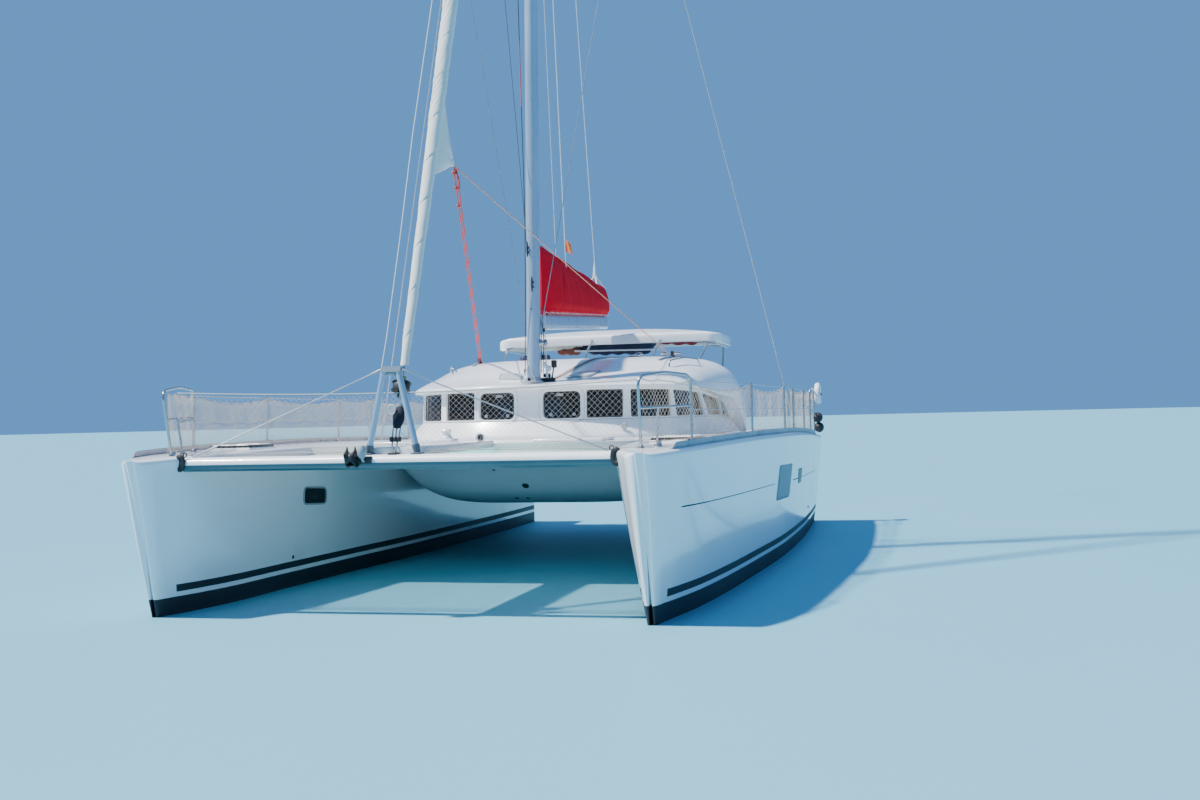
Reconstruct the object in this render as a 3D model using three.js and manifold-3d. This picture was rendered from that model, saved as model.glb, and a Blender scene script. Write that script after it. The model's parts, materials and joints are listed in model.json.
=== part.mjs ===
// A sailing catamaran, afloat: two decked hulls joined by a bridgedeck with a hollow saloon,
// an open cockpit, a mast with a furled headsail and a boom with its sail bag.
// Millimetres. The origin lies on the waterline amidships, +Z is up, the bows face -Y,
// the port side is +X.
import * as THREE from 'three';
import { mergeVertices } from 'three/addons/utils/BufferGeometryUtils.js';
import Module from 'manifold-3d';

const wasm = await Module();
wasm.setup();

// Driving dimensions
const boat = {
  bowY: -5775, // stem at deck height
  stemWaterY: -5410, // stem at the waterline
  sternDeckY: 5450, // transom corner at deck height
  sternWaterY: 5775, // end of the stern steps
  draft: 1150,
};
const gap = 0.3; // left between pieces that touch
const running = 0.6; // clearance round a shaft or pin
const deckZ = 1600; // foredeck between the hulls
const tunnelZ = 720; // underside of the bridgedeck
const foredeckY = -3000; // front edge of the foredeck

// A hull's lines for the port side, by its share of the length from bow to stern:
// distances from the boat's middle plane at deck and at waterline, depth of the bottom, sheer height
const hullLines = [
  { at: 0.000, deckOut: 2545, deckIn: 2435, waterOut: 2510, waterIn: 2470, bottom: -180, sheer: 1550 },
  { at: 0.018, deckOut: 2690, deckIn: 2290, waterOut: 2555, waterIn: 2410, bottom: -260, sheer: 1560 },
  { at: 0.045, deckOut: 2795, deckIn: 2155, waterOut: 2615, waterIn: 2335, bottom: -330, sheer: 1575 },
  { at: 0.100, deckOut: 2905, deckIn: 2060, waterOut: 2725, waterIn: 2240, bottom: -410, sheer: 1590 },
  { at: 0.200, deckOut: 3015, deckIn: 1985, waterOut: 2850, waterIn: 2190, bottom: -490, sheer: 1605 },
  { at: 0.350, deckOut: 3140, deckIn: 1930, waterOut: 2980, waterIn: 2095, bottom: -540, sheer: 1615 },
  { at: 0.500, deckOut: 3240, deckIn: 1900, waterOut: 3085, waterIn: 1990, bottom: -550, sheer: 1610 },
  { at: 0.700, deckOut: 3265, deckIn: 1890, waterOut: 3130, waterIn: 1940, bottom: -480, sheer: 1580 },
  { at: 0.850, deckOut: 3258, deckIn: 1890, waterOut: 3110, waterIn: 1920, bottom: -330, sheer: 1535 },
  { at: 1.000, deckOut: 3227, deckIn: 1900, waterOut: 3055, waterIn: 1945, bottom: -120, sheer: 1470 },
];
const gunwale = 50; // rounding of the deck edge
const keel = { y0: -650, y1: 1750, topZ: -480, toeIn: 180, width: 250, rake: 260 };
const steps = { // treads cut into each stern, from the deck down
  inner: 2010,
  outer: 3120,
  treads: [{ y: 4650, z: 1190 }, { y: 5010, z: 830 }, { y: 5370, z: 470 }],
};
const engineBay = { x0: 2260, x1: 2860, y0: 3500, y1: 4420, floorZ: 300 };
const bowHatch = { x0: 2250, x1: 2670, y0: -3950, y1: -3430, floorZ: 1350 };

// Saloon: plan of the window band for the port side, from the middle of the front to the aft end
const windowPlan = [
  [0, -835], [700, -780], [1230, -600], [1560, -310], [1760, 0], [1900, 700], [2010, 1700], [2060, 2600],
];
const saloon = {
  sillZ: 1857, headZ: 2212, wall: 40, baseOut: 190, aftY: 2515,
  floorZ: 800, floorX: 1280, wellY0: -150, wellY1: 2400,
  shelfZ: 1180, shelfX: 1700, shelfY0: -560,
};
// Window openings as shares of the port half of the band's length, along their heads and their sills
const windows = [
  { head: [0.041, 0.144], sill: [0.041, 0.144] },
  { head: [0.161, 0.262], sill: [0.160, 0.259] },
  { head: [0.282, 0.417], sill: [0.281, 0.417] },
  { head: [0.430, 0.632], sill: [0.442, 0.680] },
  { head: [0.657, 0.845], sill: [0.725, 0.897] },
  { head: [0.875, 0.960], sill: [0.912, 0.975] },
];
const roof = { brow: 110, flare: 129, thick: 55, rim: -28, aftY: 2960 };
// Coachroof by its distance aft: height of its lower edge and of its ridge
const roofLines = [
  { at: -945, edge: 2270, ridge: 2292 },
  { at: -650, edge: 2247, ridge: 2318 },
  { at: -100, edge: 2222, ridge: 2395 },
  { at: 450, edge: 2210, ridge: 2540 },
  { at: 1000, edge: 2180, ridge: 2665 },
  { at: 1500, edge: 2140, ridge: 2715 },
  { at: 2050, edge: 2085, ridge: 2728 },
  { at: 2400, edge: 1950, ridge: 2728 },
  { at: 2700, edge: 1750, ridge: 2728 },
  { at: 2960, edge: 1600, ridge: 2728 },
];

const cockpit = { x: 1560, y0: 2560, y1: 4560, floorZ: 1080, seatZ: 1430, seatDeep: 520, aftY: 4750 };
const doorway = { half: 330, headZ: 2300 };
const door = { half: 345, y0: 2566, thick: 28, travel: 660, sillZ: 1100 };
const bimini = { x: 1850, y0: 3500, y1: 4850, topZ: 3288, camber: 150, thick: 60, rim: 155 };

const mast = { footY: -562, footZ: 2403, topZ: 16800, rake: 0.053, long: 250, wide: 165 };
const hounds = { z: 15600, half: 66.4 };
const spreader = { z: 9000, x: 1170, sweep: 240 };
const shroud = { x: 3145, y: 1760, radius: 6 };
const boomLine = { pinY: -330, endY: 3440, bottomZ: 3030, slope: 0.0625, high: 195, wide: 120 };
const bag = { y0: -180, y1: 3390, front: 930, aft: 465, wide: 300 };

const paint = {
  gelcoat: [0xeef0f0, 0.25, 0], antifoul: [0x16181c, 0.7, 0], glass: [0x20262a, 0.08, 0],
  spar: [0xa9bdd2, 0.35, 0.6], steel: [0xc8ccd0, 0.25, 0.9], wire: [0x9fa4a8, 0.4, 0.8],
  net: [0xcfc8b8, 0.9, 0], bag: [0xc0142a, 0.85, 0], sail: [0xe4e0d4, 0.85, 0],
  dark: [0x23262b, 0.6, 0], grey: [0x9aa3a8, 0.5, 0.2], bronze: [0xa88a52, 0.35, 0.9],
  cloth: [0x6e6a64, 0.9, 0], wood: [0x8a5a34, 0.6, 0], hatch: [0x3a4248, 0.2, 0],
};

const vessel = new THREE.Group();

// Adds a geometry to the boat as a named mesh with one of the paints
function add(name, geometry, finish) {
  const [color, roughness, metalness] = paint[finish];
  const mesh = new THREE.Mesh(geometry, new THREE.MeshStandardMaterial({ color, roughness, metalness }));
  mesh.name = name;
  vessel.add(mesh);
}

// Closed geometry to a solid for joining and cutting, and back
function solid(geometry) {
  const bare = geometry.clone();
  bare.deleteAttribute('normal');
  bare.deleteAttribute('uv');
  const merged = mergeVertices(bare, 1e-3);
  return new wasm.Manifold(new wasm.Mesh({
    numProp: 3,
    vertProperties: new Float32Array(merged.attributes.position.array),
    triVerts: new Uint32Array(merged.index.array),
  }));
}

function surface(body) {
  const mesh = body.getMesh();
  const geometry = new THREE.BufferGeometry();
  geometry.setAttribute('position', new THREE.BufferAttribute(new Float32Array(mesh.vertProperties), 3));
  geometry.setIndex(new THREE.BufferAttribute(new Uint32Array(mesh.triVerts), 1));
  return geometry;
}

function join(...pieces) {
  return surface(pieces.map(solid).reduce((all, piece) => all.add(piece)));
}

function cut(piece, ...tools) {
  return surface(tools.map(solid).reduce((rest, tool) => rest.subtract(tool), solid(piece)));
}

// Cuts a piece back from its neighbours, leaving the gap on the sides that the shifts name
function fitTo(piece, neighbours, shifts) {
  const tools = neighbours.flatMap((neighbour) => shifts.map((s) => moved(neighbour, ...s.map((v) => v * gap))));
  return cut(piece, ...tools);
}

// Copies of a roof stacked upwards from just below it, to cut off all that stands above its underside
function overhead(cover, clearance) {
  return Array.from({ length: 14 }, (_, i) => moved(cover, 0, 0, i * 45 - clearance));
}

function moved(geometry, x, y, z) {
  return geometry.clone().translate(x, y, z);
}

function mirrored(geometry) {
  const copy = (geometry.index ? geometry : mergeVertices(geometry, 1e-3)).clone();
  copy.scale(-1, 1, 1);
  const order = copy.index.array;
  for (let i = 0; i < order.length; i += 3) {
    [order[i], order[i + 1]] = [order[i + 1], order[i]];
  }
  return copy;
}

// Builds the port piece and its mirror image
function addPair(name, geometry, finish) {
  add(`${name}_port`, geometry, finish);
  add(`${name}_starboard`, mirrored(geometry), finish);
}

function box(x0, x1, y0, y1, z0, z1) {
  const block = new THREE.BoxGeometry(x1 - x0, y1 - y0, z1 - z0);
  return block.translate((x0 + x1) / 2, (y0 + y1) / 2, (z0 + z1) / 2);
}

// Upright plate with its outline in plan, from one height to another
function plate(outline, z0, z1) {
  const shape = new THREE.Shape(outline.map(([x, y]) => new THREE.Vector2(x, y)));
  return new THREE.ExtrudeGeometry(shape, { depth: z1 - z0, bevelEnabled: false }).translate(0, 0, z0);
}

// Plate across the boat with its outline in the fore-and-aft plane (y, z)
function slab(outline, x0, x1) {
  const shape = new THREE.Shape(outline.map(([y, z]) => new THREE.Vector2(y, z)));
  const body = new THREE.ExtrudeGeometry(shape, { depth: x1 - x0, bevelEnabled: false });
  const toBoat = new THREE.Matrix4().set(0, 0, 1, x0, 1, 0, 0, 0, 0, 1, 0, 0, 0, 0, 0, 1);
  return body.applyMatrix4(toBoat);
}

// Straight round bar between two points
function rod(a, b, radius, sides = 8) {
  const from = new THREE.Vector3(...a);
  const along = new THREE.Vector3(...b).sub(from);
  const bar = new THREE.CylinderGeometry(radius, radius, along.length(), sides);
  bar.translate(0, along.length() / 2, 0);
  bar.applyQuaternion(new THREE.Quaternion().setFromUnitVectors(new THREE.Vector3(0, 1, 0), along.normalize()));
  return bar.translate(...a);
}

// Round bar through a row of points, mitred where it turns
function bentRod(points, radius, sides = 8) {
  const spots = points.map((p) => new THREE.Vector3(...p));
  const ways = spots.slice(1).map((spot, i) => spot.clone().sub(spots[i]).normalize());
  const start = new THREE.Quaternion().setFromUnitVectors(new THREE.Vector3(0, 0, 1), ways[0]);
  const rings = [Array.from({ length: sides }, (_, i) => {
    const a = (i * Math.PI * 2) / sides;
    return new THREE.Vector3(Math.cos(a) * radius, Math.sin(a) * radius, 0).applyQuaternion(start).add(spots[0]);
  })];
  ways.forEach((way, i) => {
    const normal = way.clone().add(ways[i + 1] ?? way).normalize();
    rings.push(rings[i].map((q) => {
      const reach = spots[i + 1].clone().sub(q).dot(normal) / way.dot(normal);
      return q.clone().addScaledVector(way, reach);
    }));
  });
  return loft(rings.map((ring) => ring.map((q) => q.toArray())));
}

// The same row of points with each corner taken in two smaller turns
function softened(points, reach) {
  return points.flatMap((p, i) => {
    if (i === 0 || i === points.length - 1) {
      return [p];
    }
    const here = new THREE.Vector3(...p);
    return [points[i - 1], points[i + 1]].map((q) => {
      const there = new THREE.Vector3(...q);
      return here.clone().lerp(there, reach / here.distanceTo(there)).toArray();
    });
  });
}

// Skin through equal rings of points, closed at both ends
function loft(rings) {
  const count = rings[0].length;
  const points = rings.flat();
  const faces = [];
  for (let i = 0; i + 1 < rings.length; i += 1) {
    for (let k = 0; k < count; k += 1) {
      const a = i * count + k;
      const b = i * count + ((k + 1) % count);
      faces.push(a, b, a + count, b, b + count, a + count);
    }
  }
  const ends = [[rings[0], 0], [rings.at(-1), (rings.length - 1) * count]];
  ends.forEach(([ring, start], last) => {
    const middle = points.length;
    points.push(ring.reduce((sum, p) => sum.map((v, i) => v + p[i] / count), [0, 0, 0]));
    for (let k = 0; k < count; k += 1) {
      const pair = [start + k, start + ((k + 1) % count)];
      faces.push(middle, ...(last ? pair : pair.reverse()));
    }
  });
  const geometry = new THREE.BufferGeometry();
  geometry.setAttribute('position', new THREE.Float32BufferAttribute(points.flat(), 3));
  geometry.setIndex(faces);
  const body = solid(geometry);
  return body.volume() < 0 ? turned(geometry) : geometry;
}

function turned(geometry) {
  const order = geometry.index.array;
  for (let i = 0; i < order.length; i += 3) {
    [order[i], order[i + 1]] = [order[i + 1], order[i]];
  }
  return geometry;
}

// Smooth value of a column of a table at a share of the length
function read(table, column, at) {
  const rows = table.map((row) => new THREE.Vector2(row.at, row[column]));
  const i = Math.min(Math.max(rows.findIndex((row) => row.x >= at), 1), rows.length - 1);
  const slope = (k) => {
    const a = rows[Math.max(k - 1, 0)];
    const b = rows[Math.min(k + 1, rows.length - 1)];
    return (b.y - a.y) / (b.x - a.x);
  };
  const span = rows[i].x - rows[i - 1].x;
  const s = (at - rows[i - 1].x) / span;
  const s2 = s * s;
  const s3 = s2 * s;
  return rows[i - 1].y * (2 * s3 - 3 * s2 + 1) + slope(i - 1) * span * (s3 - 2 * s2 + s)
    + rows[i].y * (3 * s2 - 2 * s3) + slope(i) * span * (s3 - s2);
}

// Hull section at a share of the length: deck, rounded edge, topside, round bilge to the bottom
function hullRing(at) {
  const line = (column) => read(hullLines, column, at);
  const sheer = line('sheer');
  const y = (z) => {
    const lift = Math.max(z, 0) / 1550;
    const stem = boat.stemWaterY + (boat.bowY - boat.stemWaterY) * lift + Math.max(-z, 0) * 1.1;
    const stern = boat.sternWaterY + (boat.sternDeckY - boat.sternWaterY) * lift;
    return stem + (stern - stem) * at;
  };
  const middle = (line('waterOut') + line('waterIn')) / 2;
  const sideRows = (deck, water) => {
    const out = Math.sign(deck - middle);
    const edge = Math.min(gunwale, Math.abs(deck - middle) * 0.5);
    const rows = [[deck - out * edge, sheer], [deck - out * edge * 0.3, sheer - edge * 0.3], [deck, sheer - edge]];
    for (const share of [0.3, 0.65]) {
      const bulge = 12 * Math.sin(share * Math.PI) * out;
      rows.push([deck + (water - deck) * share + bulge, (sheer - edge) * (1 - share)]);
    }
    for (const turn of [0, 25, 50, 72]) {
      const angle = THREE.MathUtils.degToRad(turn);
      rows.push([middle + (water - middle) * Math.cos(angle), line('bottom') * Math.sin(angle)]);
    }
    return rows;
  };
  const outer = sideRows(line('deckOut'), line('waterOut'));
  const inner = sideRows(line('deckIn'), line('waterIn'));
  const ring = [...outer, [middle, line('bottom')], ...inner.reverse()];
  return ring.map(([x, z]) => [x, y(z), z]);
}

const hullShares = [0, 0.004, 0.018, 0.045, 0.1, 0.16, 0.24, 0.35, 0.5, 0.7, 0.85, 0.93, 1];
const plainHull = loft(hullShares.map(hullRing));

// Streamlined outline in plan, nose forward: a ring for a loft at one height
function foil(x, y0, y1, width, z) {
  const half = [[0, 0], [0.04, 0.45], [0.2, 0.95], [0.4, 1], [0.75, 0.62], [1, 0.06]];
  const side = (sign) => half.map(([along, share]) => [x + sign * share * width / 2, y0 + (y1 - y0) * along, z]);
  return [...side(1), ...side(-1).slice(1).reverse()];
}

// Value of a column of the hull's lines at a distance aft
function hullAt(y, column) {
  return read(hullLines, column, (y - boat.stemWaterY) / (boat.sternWaterY - boat.stemWaterY));
}

const rudder = { stockY: 5040, y0: 4930, y1: 5340, topZ: -275, bottomZ: -960, width: 46, stock: 24 };
const drive = { y0: 3700, y1: 4010, bottomZ: -790, hubZ: -680, propY: 4135, propRadius: 215 };
const rudderX = (hullAt(rudder.stockY, 'waterOut') + hullAt(rudder.stockY, 'waterIn')) / 2;
const driveX = (hullAt(drive.y1, 'waterOut') + hullAt(drive.y1, 'waterIn')) / 2;
const keelX = (hullAt(keel.y0, 'waterOut') + hullAt(keel.y1, 'waterIn')) / 2;

// Top of the raised rim round a deck opening, and the rim itself, a part of the hull
const rimLift = 15;
const rimWide = 38;
function rimTop({ y0, y1 }) {
  return Math.max(hullAt(y0, 'sheer'), hullAt(y1, 'sheer')) + rimLift;
}
function rim(opening) {
  const { x0, x1, y0, y1 } = opening;
  return box(x0 - rimWide, x1 + rimWide, y0 - rimWide, y1 + rimWide, rimTop(opening) - 90, rimTop(opening));
}
function well({ x0, x1, y0, y1, floorZ }) {
  return box(x0, x1, y0, y1, floorZ, 2000);
}
function hull() {
  return cut(
    join(plainHull, rim(engineBay), rim(bowHatch)),
    ...steps.treads.map(({ y, z }) => box(steps.inner, steps.outer, y, 6000, z, 2000)),
    well(engineBay),
    well(bowHatch),
    rod([rudderX, rudder.stockY, -600], [rudderX, rudder.stockY, 60], rudder.stock + running, 16),
  );
}

const portHull = hull();
const hulls = [portHull, mirrored(portHull)];
addPair('hull', portHull, 'gelcoat');

// Low keel under each hull, fitted to the round bottom
const keelBody = loft([
  foil(keelX, keel.y0 - keel.toeIn, keel.y1, keel.width, keel.topZ),
  foil(keelX, keel.y0 + keel.rake, keel.y1 - 60, keel.width * 0.8, -boat.draft),
]);
addPair('keel', fitTo(keelBody, [portHull], [[0, 0, -1]]), 'antifoul');

// Propeller leg with its gear housing, then the propeller on its shaft behind it
function driveLeg() {
  const leg = loft([
    foil(driveX, drive.y0, drive.y1, 110, -250),
    foil(driveX, drive.y0 + 30, drive.y1 - 20, 70, drive.bottomZ),
  ]);
  const pod = new THREE.LatheGeometry(
    [[0, -230], [45, -190], [62, -60], [58, 90], [50, 109], [0, 109]].map(([r, y]) => new THREE.Vector2(r, y)), 12);
  pod.translate(driveX, drive.y1 - 30, drive.hubZ);
  const shaft = rod([driveX, drive.y1, drive.hubZ], [driveX, drive.propY - 18, drive.hubZ], 18, 16);
  return fitTo(join(leg, pod, shaft), [portHull], [[0, 0, -1]]);
}
addPair('drive_leg', driveLeg(), 'grey');

function propeller() {
  const hub = new THREE.LatheGeometry(
    [[0, -45], [46, -45], [48, 0], [40, 45], [0, 75]].map(([r, y]) => new THREE.Vector2(r, y)), 12);
  const blade = new THREE.SphereGeometry(1, 10, 6).scale(58, 9, 95);
  const parts = [0, 1, 2].map((i) => {
    const turn = new THREE.Matrix4().makeRotationY((i * Math.PI * 2) / 3);
    return blade.clone().rotateZ(0.6).translate(0, 0, drive.propRadius - 95).applyMatrix4(turn);
  });
  const bore = rod([0, -60, 0], [0, -17, 0], 18 + running, 16);
  return cut(join(hub, ...parts), bore).translate(driveX, drive.propY, drive.hubZ);
}
addPair('propeller', propeller(), 'bronze');

function rudderBlade() {
  const { stockY, y0, y1, topZ, bottomZ, width, stock } = rudder;
  const blade = loft([foil(rudderX, y0, y1, width, topZ), foil(rudderX, y0 + 60, y1 - 60, width * 0.6, bottomZ)]);
  return join(blade, rod([rudderX, stockY, topZ - 300], [rudderX, stockY, 40], stock, 16));
}
addPair('rudder', rudderBlade(), 'antifoul');

// Lid of an opening with its overlap, lying on a rim or deck at a height
function lid({ x0, x1, y0, y1 }, overlap, z, thick = 30) {
  return box(x0 - overlap, x1 + overlap, y0 - overlap, y1 + overlap, z + gap, z + thick);
}
addPair('engine', box(engineBay.x0 + 90, engineBay.x1 - 90, engineBay.y0 + 60, engineBay.y1 - 160,
  engineBay.floorZ + gap, engineBay.floorZ + 620), 'grey');
addPair('engine_hatch', lid(engineBay, 30, rimTop(engineBay)), 'gelcoat');
addPair('bow_hatch', lid(bowHatch, 25, rimTop(bowHatch)), 'hatch');

// Bridgedeck: a pan between the hulls, round at its sides and rising forward, with two wells
const panRise = [[foredeckY, 690], [-1500, 650], [-1200, 585], [-1020, 480], [-860, 330], [-680, 190], [-420, 85],
  [-80, 20], [350, 0], [4600, 0], [4750, 90]];
const panTopZ = 1500;
function panRing([y, rise]) {
  const half = 2150;
  const bottom = [];
  for (let i = -6; i <= 6; i += 1) {
    const x = Math.sign(i) * half * Math.sin((Math.abs(i) / 6) * Math.PI / 2);
    const side = 550 * (Math.abs(x) / 1950) ** 6;
    bottom.push([x, y, Math.min(tunnelZ + rise + side, panTopZ - 20)]);
  }
  return [...bottom, [half, y, panTopZ], [-half, y, panTopZ]];
}
const sideShifts = [[1, 0, 0], [-1, 0, 0], [0, 0, 1]];
function bridgedeck() {
  const wells = [
    box(-saloon.floorX, saloon.floorX, saloon.wellY0, saloon.wellY1, saloon.floorZ, 2000),
    box(-saloon.shelfX, saloon.shelfX, saloon.shelfY0, saloon.wellY1, saloon.shelfZ, 2000),
    box(-cockpit.x, cockpit.x, cockpit.y0, cockpit.y1, cockpit.floorZ, 2000),
    box(-doorway.half, doorway.half, saloon.wellY1 - 50, cockpit.y0 + 50, 1100, 2000),
  ];
  return cut(fitTo(loft(panRise.map(panRing)), hulls, sideShifts), ...wells);
}
add('bridgedeck', bridgedeck(), 'gelcoat');

// Foredeck between the hulls, back to the saloon, and the deck round the cockpit
const lockers = { x0: 620, x1: 1380, y0: -2650, y1: -2050, wellZ: 1530 };
function foredeck() {
  const sheet = box(-2200, 2200, foredeckY, saloon.shelfY0 - 1, panTopZ + gap, deckZ);
  const holes = [1, -1].map((side) => (
    box(Math.min(side * lockers.x0, side * lockers.x1), Math.max(side * lockers.x0, side * lockers.x1),
      lockers.y0, lockers.y1, lockers.wellZ, 2000)));
  return cut(fitTo(sheet, hulls, sideShifts), ...holes);
}
add('foredeck', foredeck(), 'gelcoat');
addPair('locker_lid', lid(lockers, 25, deckZ), 'gelcoat');

function aftDeck() {
  const sheet = box(-2100, 2100, saloon.shelfY0 + 1, cockpit.aftY, panTopZ + gap, 1560);
  const well = box(-1750, 1750, saloon.shelfY0 - 50, cockpit.y0, 1400, 2000);
  const pit = box(-cockpit.x, cockpit.x, cockpit.y0 - 1, cockpit.y1, 1400, 2000);
  return cut(fitTo(sheet, hulls, sideShifts), well, pit);
}
const bridgeCoaming = aftDeck();
add('cockpit_coaming', bridgeCoaming, 'gelcoat');

// Plan outline of the saloon at the window band, moved outwards by an offset, port aft end first
const band = new THREE.CatmullRomCurve3(
  [...windowPlan.slice(1).reverse(), ...windowPlan.map(([x, y]) => [-x, y])].map(([x, y]) => (
    new THREE.Vector3(x, y, 0))), false, 'centripetal');
function bandPoint(at, offset) {
  const point = band.getPointAt(at);
  const along = band.getTangentAt(at);
  return [point.x - along.y * offset, point.y + along.x * offset];
}

function bandOutline(offset, from = 0, to = 1, count = 36) {
  return Array.from({ length: count + 1 }, (_, i) => bandPoint(from + ((to - from) * i) / count, offset));
}

function bandRing(offset, z) {
  return bandOutline(offset).map(([x, y]) => [x, y, z]);
}

// Coachroof outline in plan, port aft end first: the window band moved outwards, flaring out aft
function roofOutline(offset) {
  const side = bandOutline(offset, 0, 1, 30).map(([x, y]) => (
    [x + Math.sign(x) * roof.flare * THREE.MathUtils.smoothstep(y, 1000, 2500), y]));
  const [first, last] = [side[0][0], side.at(-1)[0]];
  return [[first, 5200], [first, 3700], ...side, [last, 3700], [last, 5200]];
}

// Half width of an outline at a distance aft
function halfWidth(outline, y) {
  const port = outline.filter(([x]) => x > -1);
  const i = port.findIndex(([, portY]) => portY <= y);
  if (i < 1) {
    return 0;
  }
  const [[ax, ay], [bx, by]] = [port[i - 1], port[i]];
  return bx + ((ax - bx) * (y - by)) / (ay - by);
}

// Height of the roof over a point: in each cross-section a flat-topped arch from edge to ridge
function roofZ(outline, x, y) {
  const at = THREE.MathUtils.clamp(y, roofLines[0].at, roofLines.at(-1).at);
  const [edge, ridge] = [read(roofLines, 'edge', at), read(roofLines, 'ridge', at)];
  const half = halfWidth(outline, y);
  const share = half > 1 ? Math.min(Math.abs(x) / half, 1) : 1;
  const aft = THREE.MathUtils.smoothstep(y, 500, 2400);
  const arch = (1 - share ** (5 + aft)) ** (1 / (1.65 + 1.4 * aft));
  return edge + Math.max(ridge - edge, 0) * arch;
}
const roofMiddleY = 2300;
const roofShares = [1, 0.994, 0.982, 0.96, 0.92, 0.86, 0.77, 0.65, 0.5, 0.3, 0.12];
function roofRing(offset, share, lift) {
  const outline = roofOutline(offset);
  return outline.map(([x, y]) => {
    const [px, py] = [x * share, roofMiddleY + (y - roofMiddleY) * share];
    return [px, py, roofZ(outline, px, py) + lift];
  });
}
function roofSkin(offset, lift, skirt) {
  const edge = roofRing(offset, 1, 0);
  const rim = edge.map(([x, y, z]) => [x, y, z + skirt]);
  return loft([rim, ...roofShares.map((share) => roofRing(offset, share, lift))]);
}
const hollow = { offset: -70, skirt: -800 };
const roofDome = roofSkin(roof.brow, 0, roof.rim);
const roofBlock = cut(roofDome, box(-3000, 3000, roof.aftY, 6000, 1000, 3500));
function coachroof() {
  return fitTo(cut(roofBlock, roofSkin(hollow.offset, -roof.thick, hollow.skirt)), hulls, [[0, 0, 1]]);
}
const roofShell = coachroof();
add('coachroof', roofShell, 'gelcoat');

// Cutter for a window on one side: upright sector of the band whose ends may lean aft
function windowTool({ head, sill }, side) {
  const ring = ([from, to], height) => {
    const ends = [0.5 - (side * from) / 2, 0.5 - (side * to) / 2];
    const sector = [...bandOutline(200, ...ends, 4), ...bandOutline(-200, ...ends, 4).reverse()];
    return sector.map(([x, y]) => [x, y, height(y)]);
  };
  const headAt = (y) => Math.min(saloon.headZ, read(roofLines, 'edge', Math.max(y, roofLines[0].at)) - 60);
  return loft([ring(sill, () => saloon.sillZ), ring(head, headAt)]);
}

// Saloon side: leaning out to the deck below the windows, and the glass band inside it
function cabinSides() {
  const outer = loft([bandRing(saloon.baseOut, 1400), bandRing(saloon.baseOut, 1640), bandRing(12, saloon.sillZ - 20),
    bandRing(-12, 2400)]);
  const inner = loft([bandRing(-saloon.wall, 1300), bandRing(-saloon.wall, saloon.sillZ - 20),
    bandRing(-saloon.wall - 24, 2500)]);
  const openings = windows.flatMap((row) => [1, -1].map((side) => windowTool(row, side)));
  const behind = box(-3000, 3000, saloon.aftY, 4000, 1000, 3000);
  const below = box(-3000, 3000, -3000, 4000, 1000, deckZ + gap);
  const side = cut(outer, inner, behind, below, ...overhead(roofDome, gap), ...openings);
  return fitTo(side, hulls, [[0, 0, 1]]);
}
add('cabin_sides', cabinSides(), 'gelcoat');

// One curved pane of glass behind the window openings
function saloonGlass() {
  const face = saloon.wall + 0.5;
  const outer = loft([bandRing(-face, 1300), bandRing(-face, saloon.sillZ - 20), bandRing(-face - 24, 2500)]);
  const inner = loft([bandRing(-face - 9, 1300), bandRing(-face - 9, saloon.sillZ - 20), bandRing(-face - 33, 2500)]);
  const behind = box(-3000, 3000, saloon.aftY - 130, 4000, 1000, 3000);
  const below = box(-3000, 3000, -3000, 4000, 1000, saloon.sillZ - 30);
  return cut(outer, inner, behind, below, ...overhead(roofDome, 6));
}
add('saloon_glass', saloonGlass(), 'glass');

// Bulkhead between saloon and cockpit with its doorway, two windows and the door's tracks
function bulkhead() {
  const y1 = cockpit.y0;
  const panel = box(-2040, 2040, saloon.aftY + gap, y1, deckZ - 100 + gap, 2700);
  const holes = [
    box(-doorway.half, doorway.half, 2000, 3000, 1000, doorway.headZ),
    box(480, 1500, 2000, 3000, 1750, 2150),
    box(-1500, -480, 2000, 3000, 1750, 2150),
  ];
  const wall = cut(panel, ...holes, ...overhead(roofShell, gap));
  const tracks = join(
    wall,
    box(-doorway.half - door.travel, doorway.half + 20, y1 - 5, door.y0 + door.thick + 12, 2310, 2330),
  );
  return fitTo(tracks, [...hulls, bridgeCoaming], sideShifts);
}
add('aft_bulkhead', bulkhead(), 'gelcoat');
add('door_track', box(-doorway.half - door.travel, doorway.half + 20, door.y0 - 3, door.y0 + door.thick + 12,
  cockpit.floorZ + gap, door.sillZ), 'steel');
add('saloon_door', box(-door.half, door.half, door.y0, door.y0 + door.thick, door.sillZ + 0.5, 2304.5), 'glass');

// Saloon furniture seen through the windows, cockpit bench, tables and helm
function uBench(x, y0, y1, deep, z0, z1) {
  return plate([[-x, y0], [x, y0], [x, y1], [x - deep, y1], [x - deep, y0 + deep], [-x + deep, y0 + deep],
    [-x + deep, y1], [-x, y1]], z0, z1);
}
const settee = uBench(700, 0, 1400, 480, saloon.floorZ + gap, 1250);
add('saloon_settee', moved(settee, 500, saloon.wellY0 + 10, 0), 'cloth');
add('saloon_table', join(box(230, 770, 400, 1160, 1530, 1560),
  rod([500, 780, saloon.floorZ + gap], [500, 780, 1540], 45, 12)), 'wood');
add('galley', box(-1250, -640, saloon.wellY0 + 10, 1500, saloon.floorZ + gap, 1700), 'wood');
const bench = (x) => [x, cockpit.y1 - 1];
add('cockpit_bench', plate([
  bench(-1559), [-1559, 3300], [-1040, 3300], [-1040, 4040], [1040, 4040], [1040, 3300], [1559, 3300], bench(1559),
], cockpit.floorZ + gap, cockpit.seatZ), 'gelcoat');
add('cockpit_table', join(box(-420, 420, 3350, 3900, 1690, 1725),
  rod([0, 3620, cockpit.floorZ + gap], [0, 3620, 1700], 45, 12)), 'wood');
const helm = { x: 1220, y: 2780, z: 1900, radius: 340 };
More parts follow.
